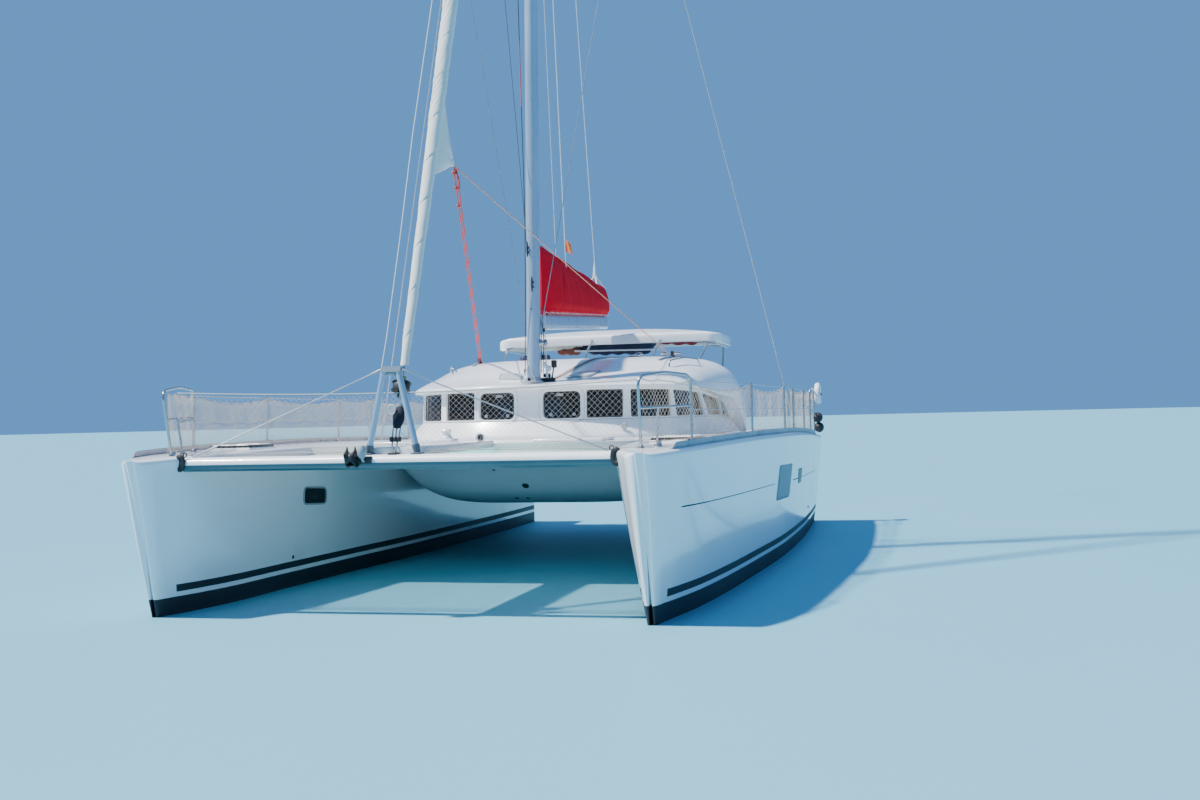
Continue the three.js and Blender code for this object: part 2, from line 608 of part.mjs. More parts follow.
add('helm_console', join(box(helm.x - 260, helm.x + 260, cockpit.y0 + gap, helm.y - 60, cockpit.floorZ + gap, 2030),
  rod([helm.x, helm.y - 70, helm.z], [helm.x, helm.y - 22, helm.z], 40, 16),
  rod([helm.x, helm.y - 70, helm.z], [helm.x, helm.y + 10, helm.z], 12, 16)), 'gelcoat');
function helmWheel() {
  const rim = new THREE.TorusGeometry(helm.radius, 14, 8, 36);
  const spokes = [0, 1, 2, 3, 4].map((i) => {
    const a = (i * Math.PI * 2) / 5;
    return rod([0, 0, 0], [Math.cos(a) * helm.radius, Math.sin(a) * helm.radius, 0], 9);
  });
  const hub = new THREE.CylinderGeometry(48, 48, 36, 16).rotateX(Math.PI / 2);
  const wheel = join(rim, ...spokes, hub).rotateX(Math.PI / 2).translate(helm.x, helm.y, helm.z);
  return cut(wheel, rod([helm.x, helm.y - 30, helm.z], [helm.x, helm.y + 11, helm.z], 12 + running, 16));
}
add('helm_wheel', helmWheel(), 'steel');

// Hard bimini: cambered across, with a deep rim, on posts
function biminiTopZ(x) {
  return bimini.topZ - bimini.camber * (x / bimini.x) ** 2;
}
const biminiShares = [-1, -0.95, -0.8, -0.6, -0.4, -0.2, 0, 0.2, 0.4, 0.6, 0.8, 0.95, 1];
const biminiX = biminiShares.map((share) => bimini.x * share);
function biminiBody(top, low) {
  const arc = (lift) => biminiX.map((x) => new THREE.Vector2(x, biminiTopZ(x) + lift));
  const shape = new THREE.Shape([...arc(top), ...arc(low).reverse()]);
  const body = new THREE.ExtrudeGeometry(shape, { depth: bimini.y1 - bimini.y0 + 400, bevelEnabled: false });
  return body.rotateX(Math.PI / 2).translate(0, bimini.y1 + 200, 0);
}
function roundedPlate(half, y0, y1, corner, z0, z1) {
  const shape = new THREE.Shape();
  shape.moveTo(-half + corner, y0);
  shape.lineTo(half - corner, y0);
  shape.absarc(half - corner, y0 + corner, corner, -Math.PI / 2, 0);
  shape.absarc(half - corner, y1 - corner, corner, 0, Math.PI / 2);
  shape.absarc(-half + corner, y1 - corner, corner, Math.PI / 2, Math.PI);
  shape.absarc(-half + corner, y0 + corner, corner, Math.PI, Math.PI * 1.5);
  const body = new THREE.ExtrudeGeometry(shape, { depth: z1 - z0, bevelEnabled: false, curveSegments: 6 });
  return body.translate(0, 0, z0);
}
function biminiRoof() {
  const outline = solid(roundedPlate(bimini.x, bimini.y0, bimini.y1, 240, 2500, 3600));
  const inside = solid(roundedPlate(bimini.x - 70, bimini.y0 + 70, bimini.y1 - 70, 180, 2500, 3600));
  const slab = solid(biminiBody(0, -bimini.rim)).intersect(outline);
  return surface(slab.subtract(solid(biminiBody(-bimini.thick, -bimini.rim - 100)).intersect(inside)));
}
const biminiShell = biminiRoof();
add('bimini_roof', biminiShell, 'gelcoat');

const postX = [-1600, -226, 863, 1600];
function biminiFrame() {
  const under = (x) => biminiTopZ(x) - bimini.rim - 16.3 - gap;
  const across = biminiX.slice(1, -1);
  const [x, y0, y1] = [across.at(-1), bimini.y0 + 35, bimini.y1 - 35];
  const bows = [y0, y1].map((y) => bentRod(across.map((bx) => [bx, y, under(bx)]), 16));
  const rails = [x, -x].map((side) => rod([side, y0 - 16, under(x)], [side, y1 + 16, under(x)], 16));
  const front = postX.map((px) => (
    rod([px, 2900, roofZ(roofOutline(roof.brow), px, 2900) - 35], [px * 1.03, y0, under(px * 1.03)], 16)));
  const aft = [1, -1].map((side) => rod([side * 1655, 4600, 1510], [side * 1700, y1, under(1700)], 16));
  return fitTo(join(...bows, ...rails, ...front, ...aft), [roofBlock, bridgeCoaming], [[0, 0, 1], [0, 0, 0]]);
}
add('bimini_frame', biminiFrame(), 'steel');

// Crossbeam between the bows, the striker frame on it, walkway, trampolines and bow roller
const beam = { y: -5300, z: 1490, halfDeep: 75, halfHigh: 70 };
function crossbeam() {
  const shape = new THREE.Shape();
  shape.absellipse(beam.y, beam.z, beam.halfDeep, beam.halfHigh, 0, Math.PI * 2);
  const outline = shape.getPoints(8).slice(0, -1).map((p) => [p.x, p.y]);
  return fitTo(slab(outline, -2400, 2400), hulls, sideShifts);
}
const beamBody = crossbeam();
add('crossbeam', beamBody, 'spar');

const striker = { footX: 255, topX: 110, topZ: 2370, y: -5275 };
function strikerFrame() {
  const leg = (side) => rod([side * striker.footX, striker.y, 1500],
    [side * striker.topX, striker.y, striker.topZ], 32, 10);
  const head = box(-150, 150, striker.y - 30, striker.y + 30, striker.topZ - 30, striker.topZ + 25);
  const wire = (side) => rod([side * 120, striker.y, striker.topZ], [side * 2100, beam.y, 1545], 7);
  return fitTo(join(leg(1), leg(-1), head, wire(1), wire(-1)), [beamBody, ...hulls], [[0, 0, 1], [0, 1, 0]]);
}
add('striker_frame', strikerFrame(), 'spar');

const walkway = { half: 250, z0: 1545, z1: 1630 };
add('walkway', fitTo(box(-walkway.half, walkway.half, -5238, foredeckY - gap, walkway.z0, walkway.z1), [beamBody],
  [[0, 1, 0], [0, 0, 1]]), 'gelcoat');
function trampoline() {
  const sheet = box(walkway.half + gap, 2400, beam.y + beam.halfDeep + gap, foredeckY - gap, beam.z, beam.z + 12);
  return fitTo(sheet, [plainHull], sideShifts);
}
addPair('trampoline', trampoline(), 'net');
const roller = { x: -345, y: -5440, z: 1500 };
add('bow_roller', fitTo(join(
  box(roller.x - 55, roller.x - 45, roller.y - 50, beam.y, roller.z - 60, roller.z + 50),
  box(roller.x + 45, roller.x + 55, roller.y - 50, beam.y, roller.z - 60, roller.z + 50),
  rod([roller.x - 50, roller.y, roller.z], [roller.x + 50, roller.y, roller.z], 48, 16),
), [beamBody], [[0, -1, 0], [0, 0, 1]]), 'dark');
add('windlass', join(box(-480, -260, -2960, -2720, deckZ + gap, deckZ + 60),
  rod([-370, -2840, deckZ + 50], [-370, -2840, deckZ + 170], 70, 16)), 'steel');

// Pulpits at the bows; guard rails with stanchions, two wires a side and the stern rails
const pulpit = { tipX: 2400, tipY: -5340, topZ: 2225, aftX: 2700, aftY: -4290 };
function pulpitBody() {
  const { tipX, tipY, topZ, aftX, aftY } = pulpit;
  const hoop = bentRod(softened([[tipX + 30, tipY + 130, 1500], [tipX, tipY, topZ], [aftX, aftY, topZ + 40],
    [aftX, aftY, 1500]], 60), 14);
  const rail = rod([tipX + 12, tipY + 51, 1940], [aftX, aftY, 1960], 12);
  const leg = rod([2600, -4720, 1500], [2590, -4745, 1950], 12);
  return fitTo(join(hoop, rail, leg), [portHull], [[0, 0, 1]]);
}
const portPulpit = pulpitBody();
addPair('pulpit', portPulpit, 'steel');

const stanchions = [[3015, -2080], [3150, 250], [3160, 1350], [3172, 2900]];
const railTopZ = 2200;
const railMidZ = 1920;
function guardRail() {
  const posts = stanchions.map(([x, y]) => rod([x, y, 1450], [x, y, railTopZ + 10], 13));
  const stops = [[pulpit.aftX, pulpit.aftY], ...stanchions, [3150, 4330]];
  const wires = [railTopZ, railMidZ].flatMap((z) => (
    stops.slice(1).map(([x, y], i) => rod([...stops[i], z], [x, y, z], 5, 6))));
  const stern = bentRod(softened([[3150, 4330, 1400], [3150, 4330, 2250], [3135, 5330, 2230], [3135, 5330, 1350]],
    70), 13);
  const sternRail = rod([3150, 4330, 1900], [3135, 5330, 1880], 11);
  return fitTo(join(...posts, ...wires, stern, sternRail), [portHull, portPulpit], [[0, 0, 1], [0, 1, 0]]);
}
addPair('guard_rail', guardRail(), 'steel');

// Toe rail along the deck's outer edge
const toeRail = { from: 0.16, to: 0.93, inset: 56, wide: 20, high: 58 };
function toeRailBody() {
  const stations = hullShares.filter((at) => at >= toeRail.from && at <= toeRail.to);
  const half = toeRail.wide / 2;
  return loft(stations.map((at) => {
    const sheer = read(hullLines, 'sheer', at);
    const [, y] = hullRing(at)[0];
    const x = read(hullLines, 'deckOut', at) - toeRail.inset;
    const [low, high] = [sheer + gap, sheer + toeRail.high];
    return [[x - half, y, low], [x + half, y, low], [x + half, y, high], [x - half, y, high]];
  }));
}
addPair('toe_rail', toeRailBody(), 'grey');

// Mast on the coachroof, with the lugs that carry the boom's pin
const mastY = (z) => mast.footY + mast.rake * (z - mast.footZ);
function mastRing(z, share) {
  return Array.from({ length: 14 }, (_, i) => {
    const a = (i * Math.PI * 2) / 14;
    return [Math.cos(a) * mast.wide / 2 * share, mastY(z) + Math.sin(a) * mast.long / 2 * share, z];
  });
}
const goose = { y: boomLine.pinY, z0: 3020, z1: 3240, pin: 13, eye: 34 };
const mastTube = loft([
  mastRing(2292, 0.9), mastRing(2420, 1), mastRing(13500, 1), mastRing(16500, 0.72), mastRing(mast.topZ, 0.72),
]);
function mastBody() {
  const lug = (z) => box(-38, 38, goose.y - 140, goose.y + 30, z - 8, z + 8);
  const pin = rod([0, goose.y, goose.z0 - 10], [0, goose.y, goose.z1 + 10], goose.pin, 16);
  const masthead = box(-60, 60, mastY(mast.topZ) - 190, mastY(mast.topZ) + 220, mast.topZ - 40, mast.topZ + 20);
  return fitTo(join(mastTube, lug(goose.z0), lug(goose.z1), pin, masthead), [roofDome], [[0, 0, 1]]);
}
const mastWhole = mastBody();
add('mast', mastWhole, 'spar');

// Diamond stays: each side's spreader with the wires below and above it
function diamond() {
  const tip = [spreader.x, mastY(spreader.z) + spreader.sweep, spreader.z];
  const arm = rod([0, mastY(spreader.z), spreader.z], tip, 32, 10);
  const low = rod([40, mastY(2800), 2800], tip, 6, 6);
  const high = rod([30, mastY(15200), 15200], tip, 6, 6);
  const end = new THREE.SphereGeometry(36, 10, 6).translate(...tip);
  return fitTo(join(arm, low, high, end), [mastWhole], [[1, 0, 0], [0, 1, 0], [0, -1, 0]]);
}
addPair('diamond_stay', diamond(), 'wire');

function capShroud() {
  const foot = [shroud.x, shroud.y, 1640];
  const head = [hounds.half + shroud.radius + 0.6, mastY(hounds.z), hounds.z];
  const way = new THREE.Vector3(...head).sub(new THREE.Vector3(...foot)).normalize();
  const screwTop = way.clone().multiplyScalar(420).add(new THREE.Vector3(...foot));
  const plateFoot = fitTo(box(shroud.x - 20, shroud.x + 20, shroud.y - 40, shroud.y + 40, 1450, 1660), [portHull],
    [[0, 0, 1]]);
  return join(rod(foot, screwTop.toArray(), 15, 8), rod(screwTop.toArray(), head, shroud.radius, 6), plateFoot);
}
addPair('cap_shroud', capShroud(), 'wire');

// Forestay with the furling drum, and the headsail rolled round it
const stayY = (z) => -4892 + 0.385 * (z - 2566);
const rollSizes = [
  [2480, 38], [2650, 46], [3600, 56], [4800, 78], [6500, 88], [9000, 90], [12000, 70], [14400, 46], [15100, 20],
];
function genoa() {
  return loft(rollSizes.map(([z, r]) => Array.from({ length: 12 }, (_, i) => {
    const a = (i * Math.PI * 2) / 12;
    return [Math.cos(a) * r, stayY(z) + Math.sin(a) * r * 1.06, z];
  })));
}
const genoaRoll = genoa();
add('furled_genoa', genoaRoll, 'sail');
function forestay() {
  const along = (z) => [0, stayY(z), z];
  const foot = rod(along(1500), along(2479), 11, 10);
  const drum = rod(along(2060), along(2170), 95, 16);
  const cage = rod(along(1860), along(2060), 55, 12);
  return fitTo(join(foot, drum, cage), [beamBody, genoaRoll], [[0, 0, 1], [0, 0, -1], [0, 1, 0]]);
}
add('forestay_drum', forestay(), 'dark');
add('forestay_head', fitTo(rod([0, stayY(15000), 15000], [0, mastY(hounds.z), hounds.z], 9, 8),
  [mastWhole, genoaRoll], [[0, -1, 0], [0, 0, 1]]), 'wire');

// Boom on its pin, and the sail bag on it
const boomBottom = (y) => boomLine.bottomZ + boomLine.slope * (y - boomLine.pinY);
function boomBody() {
  const half = boomLine.wide / 2;
  const ring = (y) => {
    const z = boomBottom(y);
    const corner = 25;
    const top = z + boomLine.high;
    const side = [[half - corner, z], [half, z + corner], [half, top - corner], [half - corner, top]];
    const far = side.map(([x, height]) => [-x, height]).reverse();
    return [...side, ...far].map(([x, height]) => [x, y, height]);
  };
  const tube = loft([ring(goose.y + 60), ring(boomLine.endY)]);
  const eye = rod([0, goose.y, goose.z0 + 20], [0, goose.y, goose.z1 - 20], goose.eye, 16);
  const bar = box(-20, 20, goose.y, goose.y + 100, goose.z0 + 40, goose.z1 - 40);
  const hole = rod([0, goose.y, 2900], [0, goose.y, 3400], goose.pin + running, 16);
  return cut(join(tube, eye, bar), hole);
}
add('boom', boomBody(), 'spar');
function bagRing(y) {
  const share = (y - bag.y0) / (bag.y1 - bag.y0);
  const low = boomBottom(y) + boomLine.high + gap;
  const high = bag.front + (bag.aft - bag.front) * share;
  const half = bag.wide / 2;
  return [[0.35, 0], [1, 0.25], [0.8, 0.62], [0.25, 1], [-0.25, 1], [-0.8, 0.62], [-1, 0.25], [-0.35, 0]].map(
    ([x, z]) => [x * half, y, low + z * high]);
}
add('sail_bag', loft([bag.y0, 700, 1600, 2600, bag.y1].map(bagRing)), 'bag');

export default vessel;
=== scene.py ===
"""Looks of a cruising catamaran at rest: smooth shells, nets, cloth, rigging and finishes.

Metres in the model's own frame: the origin lies on the waterline amidships, +Z is up, the bows
face -Y and the port side is +X.
"""
import json
import math

import bmesh
import bpy
import numpy as np
from mathutils import Matrix, Vector
from numpy import cos, pi, sin


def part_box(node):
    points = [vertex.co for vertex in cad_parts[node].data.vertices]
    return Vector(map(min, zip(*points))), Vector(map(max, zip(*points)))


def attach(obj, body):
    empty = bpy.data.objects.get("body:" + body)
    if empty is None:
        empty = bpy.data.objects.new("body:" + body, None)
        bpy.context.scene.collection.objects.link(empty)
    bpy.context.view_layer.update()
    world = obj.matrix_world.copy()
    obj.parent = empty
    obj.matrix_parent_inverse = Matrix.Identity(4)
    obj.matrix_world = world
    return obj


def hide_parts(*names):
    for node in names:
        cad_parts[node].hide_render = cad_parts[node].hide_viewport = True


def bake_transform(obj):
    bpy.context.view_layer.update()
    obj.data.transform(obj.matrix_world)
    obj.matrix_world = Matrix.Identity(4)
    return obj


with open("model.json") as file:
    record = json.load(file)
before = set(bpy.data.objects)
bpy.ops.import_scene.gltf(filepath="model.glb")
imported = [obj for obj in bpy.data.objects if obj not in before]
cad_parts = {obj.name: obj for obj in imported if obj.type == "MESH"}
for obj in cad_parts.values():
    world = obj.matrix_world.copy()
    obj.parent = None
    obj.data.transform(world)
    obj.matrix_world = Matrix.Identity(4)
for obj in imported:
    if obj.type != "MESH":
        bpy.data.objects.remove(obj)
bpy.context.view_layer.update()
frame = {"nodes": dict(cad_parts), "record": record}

# Camera: the place and turn that the two stems, the shrouds and the waterline of the photograph give
camera_place = (4.852, -16.773, 1.878)
camera_yaw = math.radians(13.78)
camera_pitch = math.radians(0.698)
camera_roll = math.radians(-1.346)
camera_lens = 39.0


def placed(name, data):
    """New object in the scene."""
    thing = bpy.data.objects.new(name, data)
    bpy.context.collection.objects.link(thing)
    return thing


def place_camera():
    """Camera looking along yaw and pitch, rolled about its own axis."""
    ahead = np.array([
        -math.sin(camera_yaw) * math.cos(camera_pitch),
        math.cos(camera_yaw) * math.cos(camera_pitch),
        math.sin(camera_pitch),
    ])
    level = np.array([math.cos(camera_yaw), math.sin(camera_yaw), 0.0])
    upright = np.cross(level, ahead)
    right = level * math.cos(camera_roll) + upright * math.sin(camera_roll)
    up = upright * math.cos(camera_roll) - level * math.sin(camera_roll)
    data = bpy.data.cameras.new("camera")
    data.lens = camera_lens
    data.sensor_width = 36.0
    data.clip_end = 2000.0
    camera = placed("camera", data)
    sides = np.column_stack([right, up, -ahead, camera_place])
    camera.matrix_world = Matrix([*sides.tolist(), (0.0, 0.0, 0.0, 1.0)])
    bpy.context.scene.camera = camera


place_camera()


# Shapes as arrays

class Shape:
    """Points with four-sided and three-sided faces, kept as arrays until they become a mesh."""

    def __init__(self, points, quads=(), triangles=()):
        self.points = np.asarray(points, float).reshape(-1, 3)
        self.quads = np.asarray(quads, int).reshape(-1, 4)
        self.triangles = np.asarray(triangles, int).reshape(-1, 3)

    def volume(self):
        """Six times the signed volume: the sum of each face's triple product."""
        q = self.quads
        faces = np.vstack([self.triangles, q[:, [0, 1, 2]], q[:, [0, 2, 3]]])
        a, b, c = (self.points[faces[:, i]] for i in range(3))
        return float(np.sum(a * np.cross(b, c)))

    def outward(self):
        """The same shape with its faces turned to point out."""
        if self.volume() >= 0:
            return self
        return Shape(self.points, self.quads[:, ::-1], self.triangles[:, ::-1])

    def moved(self, *by):
        return Shape(self.points + by, self.quads, self.triangles)

    def mirrored(self):
        """Mirror image in the boat's middle plane, its faces turned back out."""
        flipped = self.points * np.array([-1.0, 1.0, 1.0])
        return Shape(flipped, self.quads[:, ::-1], self.triangles[:, ::-1])


def joined(shapes):
    """Several shapes as one, or the one that is given."""
    if isinstance(shapes, Shape):
        return shapes
    starts = np.cumsum([0] + [len(s.points) for s in shapes[:-1]])
    return Shape(
        np.vstack([s.points for s in shapes]),
        np.vstack([s.quads + start for s, start in zip(shapes, starts)]),
        np.vstack([s.triangles + start for s, start in zip(shapes, starts)]),
    )


def both(shapes):
    """Port shapes with their mirror image."""
    shape = joined(shapes)
    return joined([shape, shape.mirrored()])


def grid(points, along=False, ends=False):
    """Faces between neighbours in rows of points that close on themselves: along joins the last row to the
    first, and ends closes the first and last rows with a fan to their middles."""
    points = np.asarray(points, float)
    rows, columns = points.shape[:2]
    number = np.arange(rows * columns).reshape(rows, columns)
    number = np.hstack([number, number[:, :1]])
    if along:
        number = np.vstack([number, number[:1]])
    quads = np.stack([number[:-1, :-1], number[:-1, 1:], number[1:, 1:], number[1:, :-1]], -1)
    flat = points.reshape(-1, 3)
    triangles = np.empty((0, 3), int)
    if ends:
        middles = np.array([points[0].mean(0), points[-1].mean(0)])
        first = np.stack([number[0, 1:], number[0, :-1]], -1)
        last = np.stack([number[-1, :-1], number[-1, 1:]], -1)
        fans = [np.column_stack([pair, np.full(len(pair), len(flat) + i)])
                for i, pair in enumerate([first, last])]
        triangles = np.vstack(fans)
        flat = np.vstack([flat, middles])
    return Shape(flat, quads.reshape(-1, 4), triangles)


def solid(rings):
    """Closed form through rings of points, its faces pointing out."""
    return grid(rings, ends=True).outward()


def spots(*columns):
    """Points from their coordinates: numbers, or arrays that fit each other."""
    return np.stack(np.broadcast_arrays(*columns), -1)


def turns(count):
    """Angles of one full turn in equal steps."""
    return np.arange(count) * 2 * pi / count


circle = turns(24)


def unit(vectors):
    """Vectors scaled to length 1."""
    return vectors / np.maximum(np.linalg.norm(vectors, axis=-1, keepdims=True), 1e-12)


def tubes(paths, radius, sides, closed=False):
    """Round tubes along many paths of equally many points: rings square to each path, turned by the
    axis that the path runs along least."""
    paths = np.asarray(paths, float)
    if closed:
        way = np.roll(paths, -1, 1) - np.roll(paths, 1, 1)
    else:
        way = np.gradient(paths, axis=1)
    way = unit(way)
    axis = np.eye(3)[np.argmin(np.abs(way).max(1), axis=-1)][:, None, :]
    across = unit(np.cross(way, axis))
    over = np.cross(way, across)
    angle = turns(sides)
    ring = (across[:, :, None] * cos(angle)[None, None, :, None]
            + over[:, :, None] * sin(angle)[None, None, :, None])
    size = np.broadcast_to(np.asarray(radius, float), paths.shape[:2])
    points = paths[:, :, None] + ring * size[:, :, None, None]
    one = grid(points[0], along=closed, ends=not closed)
    count, start = len(one.points), np.arange(len(paths))[:, None, None]
    if closed:
        every = points.reshape(-1, 3)
    else:
        middles = np.stack([points[:, 0].mean(1), points[:, -1].mean(1)], 1)
        every = np.concatenate([points.reshape(len(paths), -1, 3), middles], 1).reshape(-1, 3)
    turn = 1 if one.volume() >= 0 else -1
    return Shape(
        every,
        (one.quads[None, :, ::turn] + start * count).reshape(-1, 4),
        (one.triangles[None, :, ::turn] + start * count).reshape(-1, 3),
    )


def tube(path, radius, sides=12, closed=False):
    """One round tube along a path."""
    return tubes([path], radius, sides, closed)


def hoop(at, wide, high, radius, sides, count=24, axis=1):
    """Round tube along an ellipse that lies square to the x or y axis, about a place."""
    line = [wide * cos(turns(count)), high * sin(turns(count))]
    line.insert(axis, 0.0)
    return tube(spots(*line) + at, radius, sides, closed=True)


def rod(a, b, radius, sides=12):
    """Straight tube between two points."""
    return tube(np.linspace(a, b, 2), radius, sides)


def rounded(points, reach, steps):
    """A row of points with each corner turned in a curve that starts and ends a reach away from it."""
    points = np.asarray(points, float)
    share = np.linspace(0, 1, steps + 1)[:, None]
    row = [points[:1]]
    for before, corner, after in zip(points[:-2], points[1:-1], points[2:]):
        start = corner + unit(before - corner) * min(reach, np.linalg.norm(before - corner) * 0.5)
        stop = corner + unit(after - corner) * min(reach, np.linalg.norm(after - corner) * 0.5)
        row.append(start * (1 - share) ** 2 + 2 * corner * share * (1 - share) + stop * share ** 2)
    return np.vstack([*row, points[-1:]])


def cubic(s, start, leave, stop, arrive):
    """Cubic from start to stop as s goes from 0 to 1, with its slopes at both ends."""
    return (start * (2 * s**3 - 3 * s**2 + 1) + leave * (s**3 - 2 * s**2 + s)
            + stop * (3 * s**2 - 2 * s**3) + arrive * (s**3 - s**2))


def smooth_path(points, count):
    """Curve through points at even spacing: each span a cubic whose slopes are the neighbours' chords."""
    points = np.asarray(points, float)
    at = np.r_[0, np.cumsum(np.linalg.norm(np.diff(points, axis=0), axis=1))]
    where = np.linspace(0, at[-1], count)
    slope = np.gradient(points, at, axis=0)
    i = np.clip(np.searchsorted(at, where) - 1, 0, len(at) - 2)
    span = (at[i + 1] - at[i])[:, None]
    s = ((where - at[i]) / (at[i + 1] - at[i]))[:, None]
    return cubic(s, points[i], slope[i] * span, points[i + 1], slope[i + 1] * span)


def smooth_rise(value, low, high):
    """Rises from 0 to 1 between two values by 3 s^2 - 2 s^3."""
    share = np.clip((value - low) / (high - low), 0, 1)
    return share * share * (3 - 2 * share)


def hanging(a, b, drop, count):
    """Line between two points that sags by a parabola."""
    share = np.linspace(0, 1, count)[:, None]
    line = np.asarray(a, float) * (1 - share) + np.asarray(b, float) * share
    line[:, 2] -= (4 * drop * share * (1 - share))[:, 0]
    return line


def rounded_box(low, high, radius, steps=3):
    """Box with rounded edges: each point of a small sphere is pushed out by the half sizes along the
    signs of its direction."""
    low, high = np.minimum(low, high), np.maximum(low, high)
    radius = min(radius, float((high - low).min()) * 0.499)
    quarter = np.linspace(0, pi / 2, steps + 1)
    rise = np.r_[quarter - pi / 2, quarter]
    rise[0] += 1e-3
    rise[-1] -= 1e-3
    turn = np.concatenate([quarter + k * pi / 2 for k in range(4)])
    sign_z = np.repeat([-1.0, 1.0], steps + 1)
    sign_x = np.repeat([1.0, -1.0, -1.0, 1.0], steps + 1)
    sign_y = np.repeat([1.0, 1.0, -1.0, -1.0], steps + 1)
    half = (high - low) / 2 - radius
    points = np.empty((len(rise), len(turn), 3))
    points[..., 0] = sign_x * half[0] + radius * cos(rise)[:, None] * cos(turn)
    points[..., 1] = sign_y * half[1] + radius * cos(rise)[:, None] * sin(turn)
    points[..., 2] = (sign_z * half[2] + radius * sin(rise))[:, None]
    return solid(points + (low + high) / 2)


def turned(profile, centre, axis=2, sides=24):
    """Surface of revolution about an axis through a centre, from (radius, height) pairs."""
    profile = np.asarray(profile, float)
    angle = turns(sides)
    radius = np.maximum(profile[:, 0], 1e-4)[:, None]
    points = np.empty((len(profile), sides, 3))
    points[..., (axis + 1) % 3] = radius * cos(angle)
    points[..., (axis + 2) % 3] = radius * sin(angle)
    points[..., axis] = profile[:, 1][:, None]
    return solid(points + np.asarray(centre, float))


def symmetric(half):
    """Profile of (radius, height) pairs with its mirror image above it."""
    return [*half, *((radius, -height) for radius, height in half[::-1])]


def prism(outline, low, high, axis=0):
    """Plate with its outline in the plane across an axis, between two places on that axis."""
    outline = np.asarray(outline, float)
    points = np.empty((2, len(outline), 3))
    points[..., (axis + 1) % 3] = outline[:, 0]
    points[..., (axis + 2) % 3] = outline[:, 1]
    points[0, :, axis] = low
    points[1, :, axis] = high
    return solid(points)


def soft_outline(corners, reach):
    """Closed outline in a plane with rounded corners."""
    corners = np.asarray(corners, float)
    loop = np.vstack([corners[-1:], corners, corners[:1]])
    return rounded(np.column_stack([loop, np.zeros(len(loop))]), reach, 5)[1:-1, :2]


def corners_of(low, high):
    """Corners of a rectangle in plan."""
    return [(low[0], low[1]), (high[0], low[1]), (high[0], high[1]), (low[0], high[1])]


def filled(outline, count=120):
    """A closed outline with points at even spacing added between its own."""
    loop = np.vstack([outline, outline[:1]])
    at = np.r_[0, np.cumsum(np.linalg.norm(np.diff(loop, axis=0), axis=1))]
    where = np.unique(np.r_[at[:-1], np.linspace(0, at[-1], count, endpoint=False)])
    where = where[np.r_[True, np.diff(where) > 1e-5]]
    return np.stack([np.interp(where, at, loop[:, k]) for k in range(2)], -1)


def plate_on(outline, surface, rise, edge=0.06, sink=0.006):
    """Raised plate that follows a surface: its outline shrunk in rings towards its middle, each ring laid
    on the surface at its own height."""
    outline = filled(outline)
    middle = outline.mean(0)
    rings = []
    top = [(share, rise) for share in (1 - edge, 0.75, 0.45, 0.2, 0.02)]
    for share, out in [(1.0, -sink), (1.0, rise * 0.4), *top]:
        spot = middle + (outline - middle) * share
        rings.append(surface(spot[:, 0], spot[:, 1], out))
    return solid(rings)


def bead_on(outline, surface, radius, out):
    """Round bead along an outline on a surface."""
    outline = filled(outline)
    return tube(surface(outline[:, 0], outline[:, 1], out), radius, 8, closed=True)


# Meshes and pieces

bodies = frame["record"]["behaviour"]["bodies"]
body_of_node = {node: body for body, nodes in bodies.items() for node in nodes}


def mesh_of(name, shape):
    mesh = bpy.data.meshes.new(name)
    mesh.from_pydata(shape.points.tolist(), [], [*shape.quads.tolist(), *shape.triangles.tolist()])
    mesh.update()
    return mesh


def carved(shape, cutters):
    """Mesh of a shape or mesh with cutters taken out of it by an exact boolean."""
    body = placed("carved", mesh_of("carved", shape) if isinstance(shape, Shape) else shape)
    tool = placed("cutter", mesh_of("cutter", joined(cutters)))
    step = body.modifiers.new("carve", "BOOLEAN")
    step.operation = "DIFFERENCE"
    step.solver = "EXACT"
    step.object = tool
    whole = body.evaluated_get(bpy.context.evaluated_depsgraph_get())
    mesh = bpy.data.meshes.new_from_object(whole)
    for thing in (body, tool):
        bpy.data.objects.remove(thing)
    return mesh


def with_shape(mesh, shape):
    """A mesh with a further shape joined to it."""
    whole = bmesh.new()
    whole.from_mesh(mesh)
    whole.from_mesh(mesh_of("more", shape))
    whole.to_mesh(mesh)
    whole.free()
    return mesh


def mirror_mesh(mesh):
    """Mirror image in the middle plane, its faces turned back out."""
    copy = mesh.copy()
    copy.transform(Matrix.Diagonal((-1.0, 1.0, 1.0, 1.0)))
    copy.flip_normals()
    return copy


def piece(name, form, finish, body="boat", stands_for=(), angle=38):
    """Object from a mesh or from shapes, smooth up to an angle, riding on a body and standing for nodes."""
    mesh = mesh_of(name, joined(form)) if isinstance(form, (Shape, list)) else form
    mesh.name = name
    mesh.materials.clear()
    mesh.materials.append(finish.material)
    mesh.shade_smooth()
    mesh.set_sharp_from_angle(angle=math.radians(angle))
    thing = placed(name, mesh)
    if body:
        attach(thing, body)
    if stands_for:
        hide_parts(*stands_for)
    return thing


def port_and_starboard(name, shape, finish, node, angle=38):
    """A port shape and its mirror image, each standing for its own side's node."""
    for side, form in (("port", shape), ("starboard", shape.mirrored())):
        piece(f"{name}_{side}", form, finish, stands_for=(f"{node}_{side}",), angle=angle)


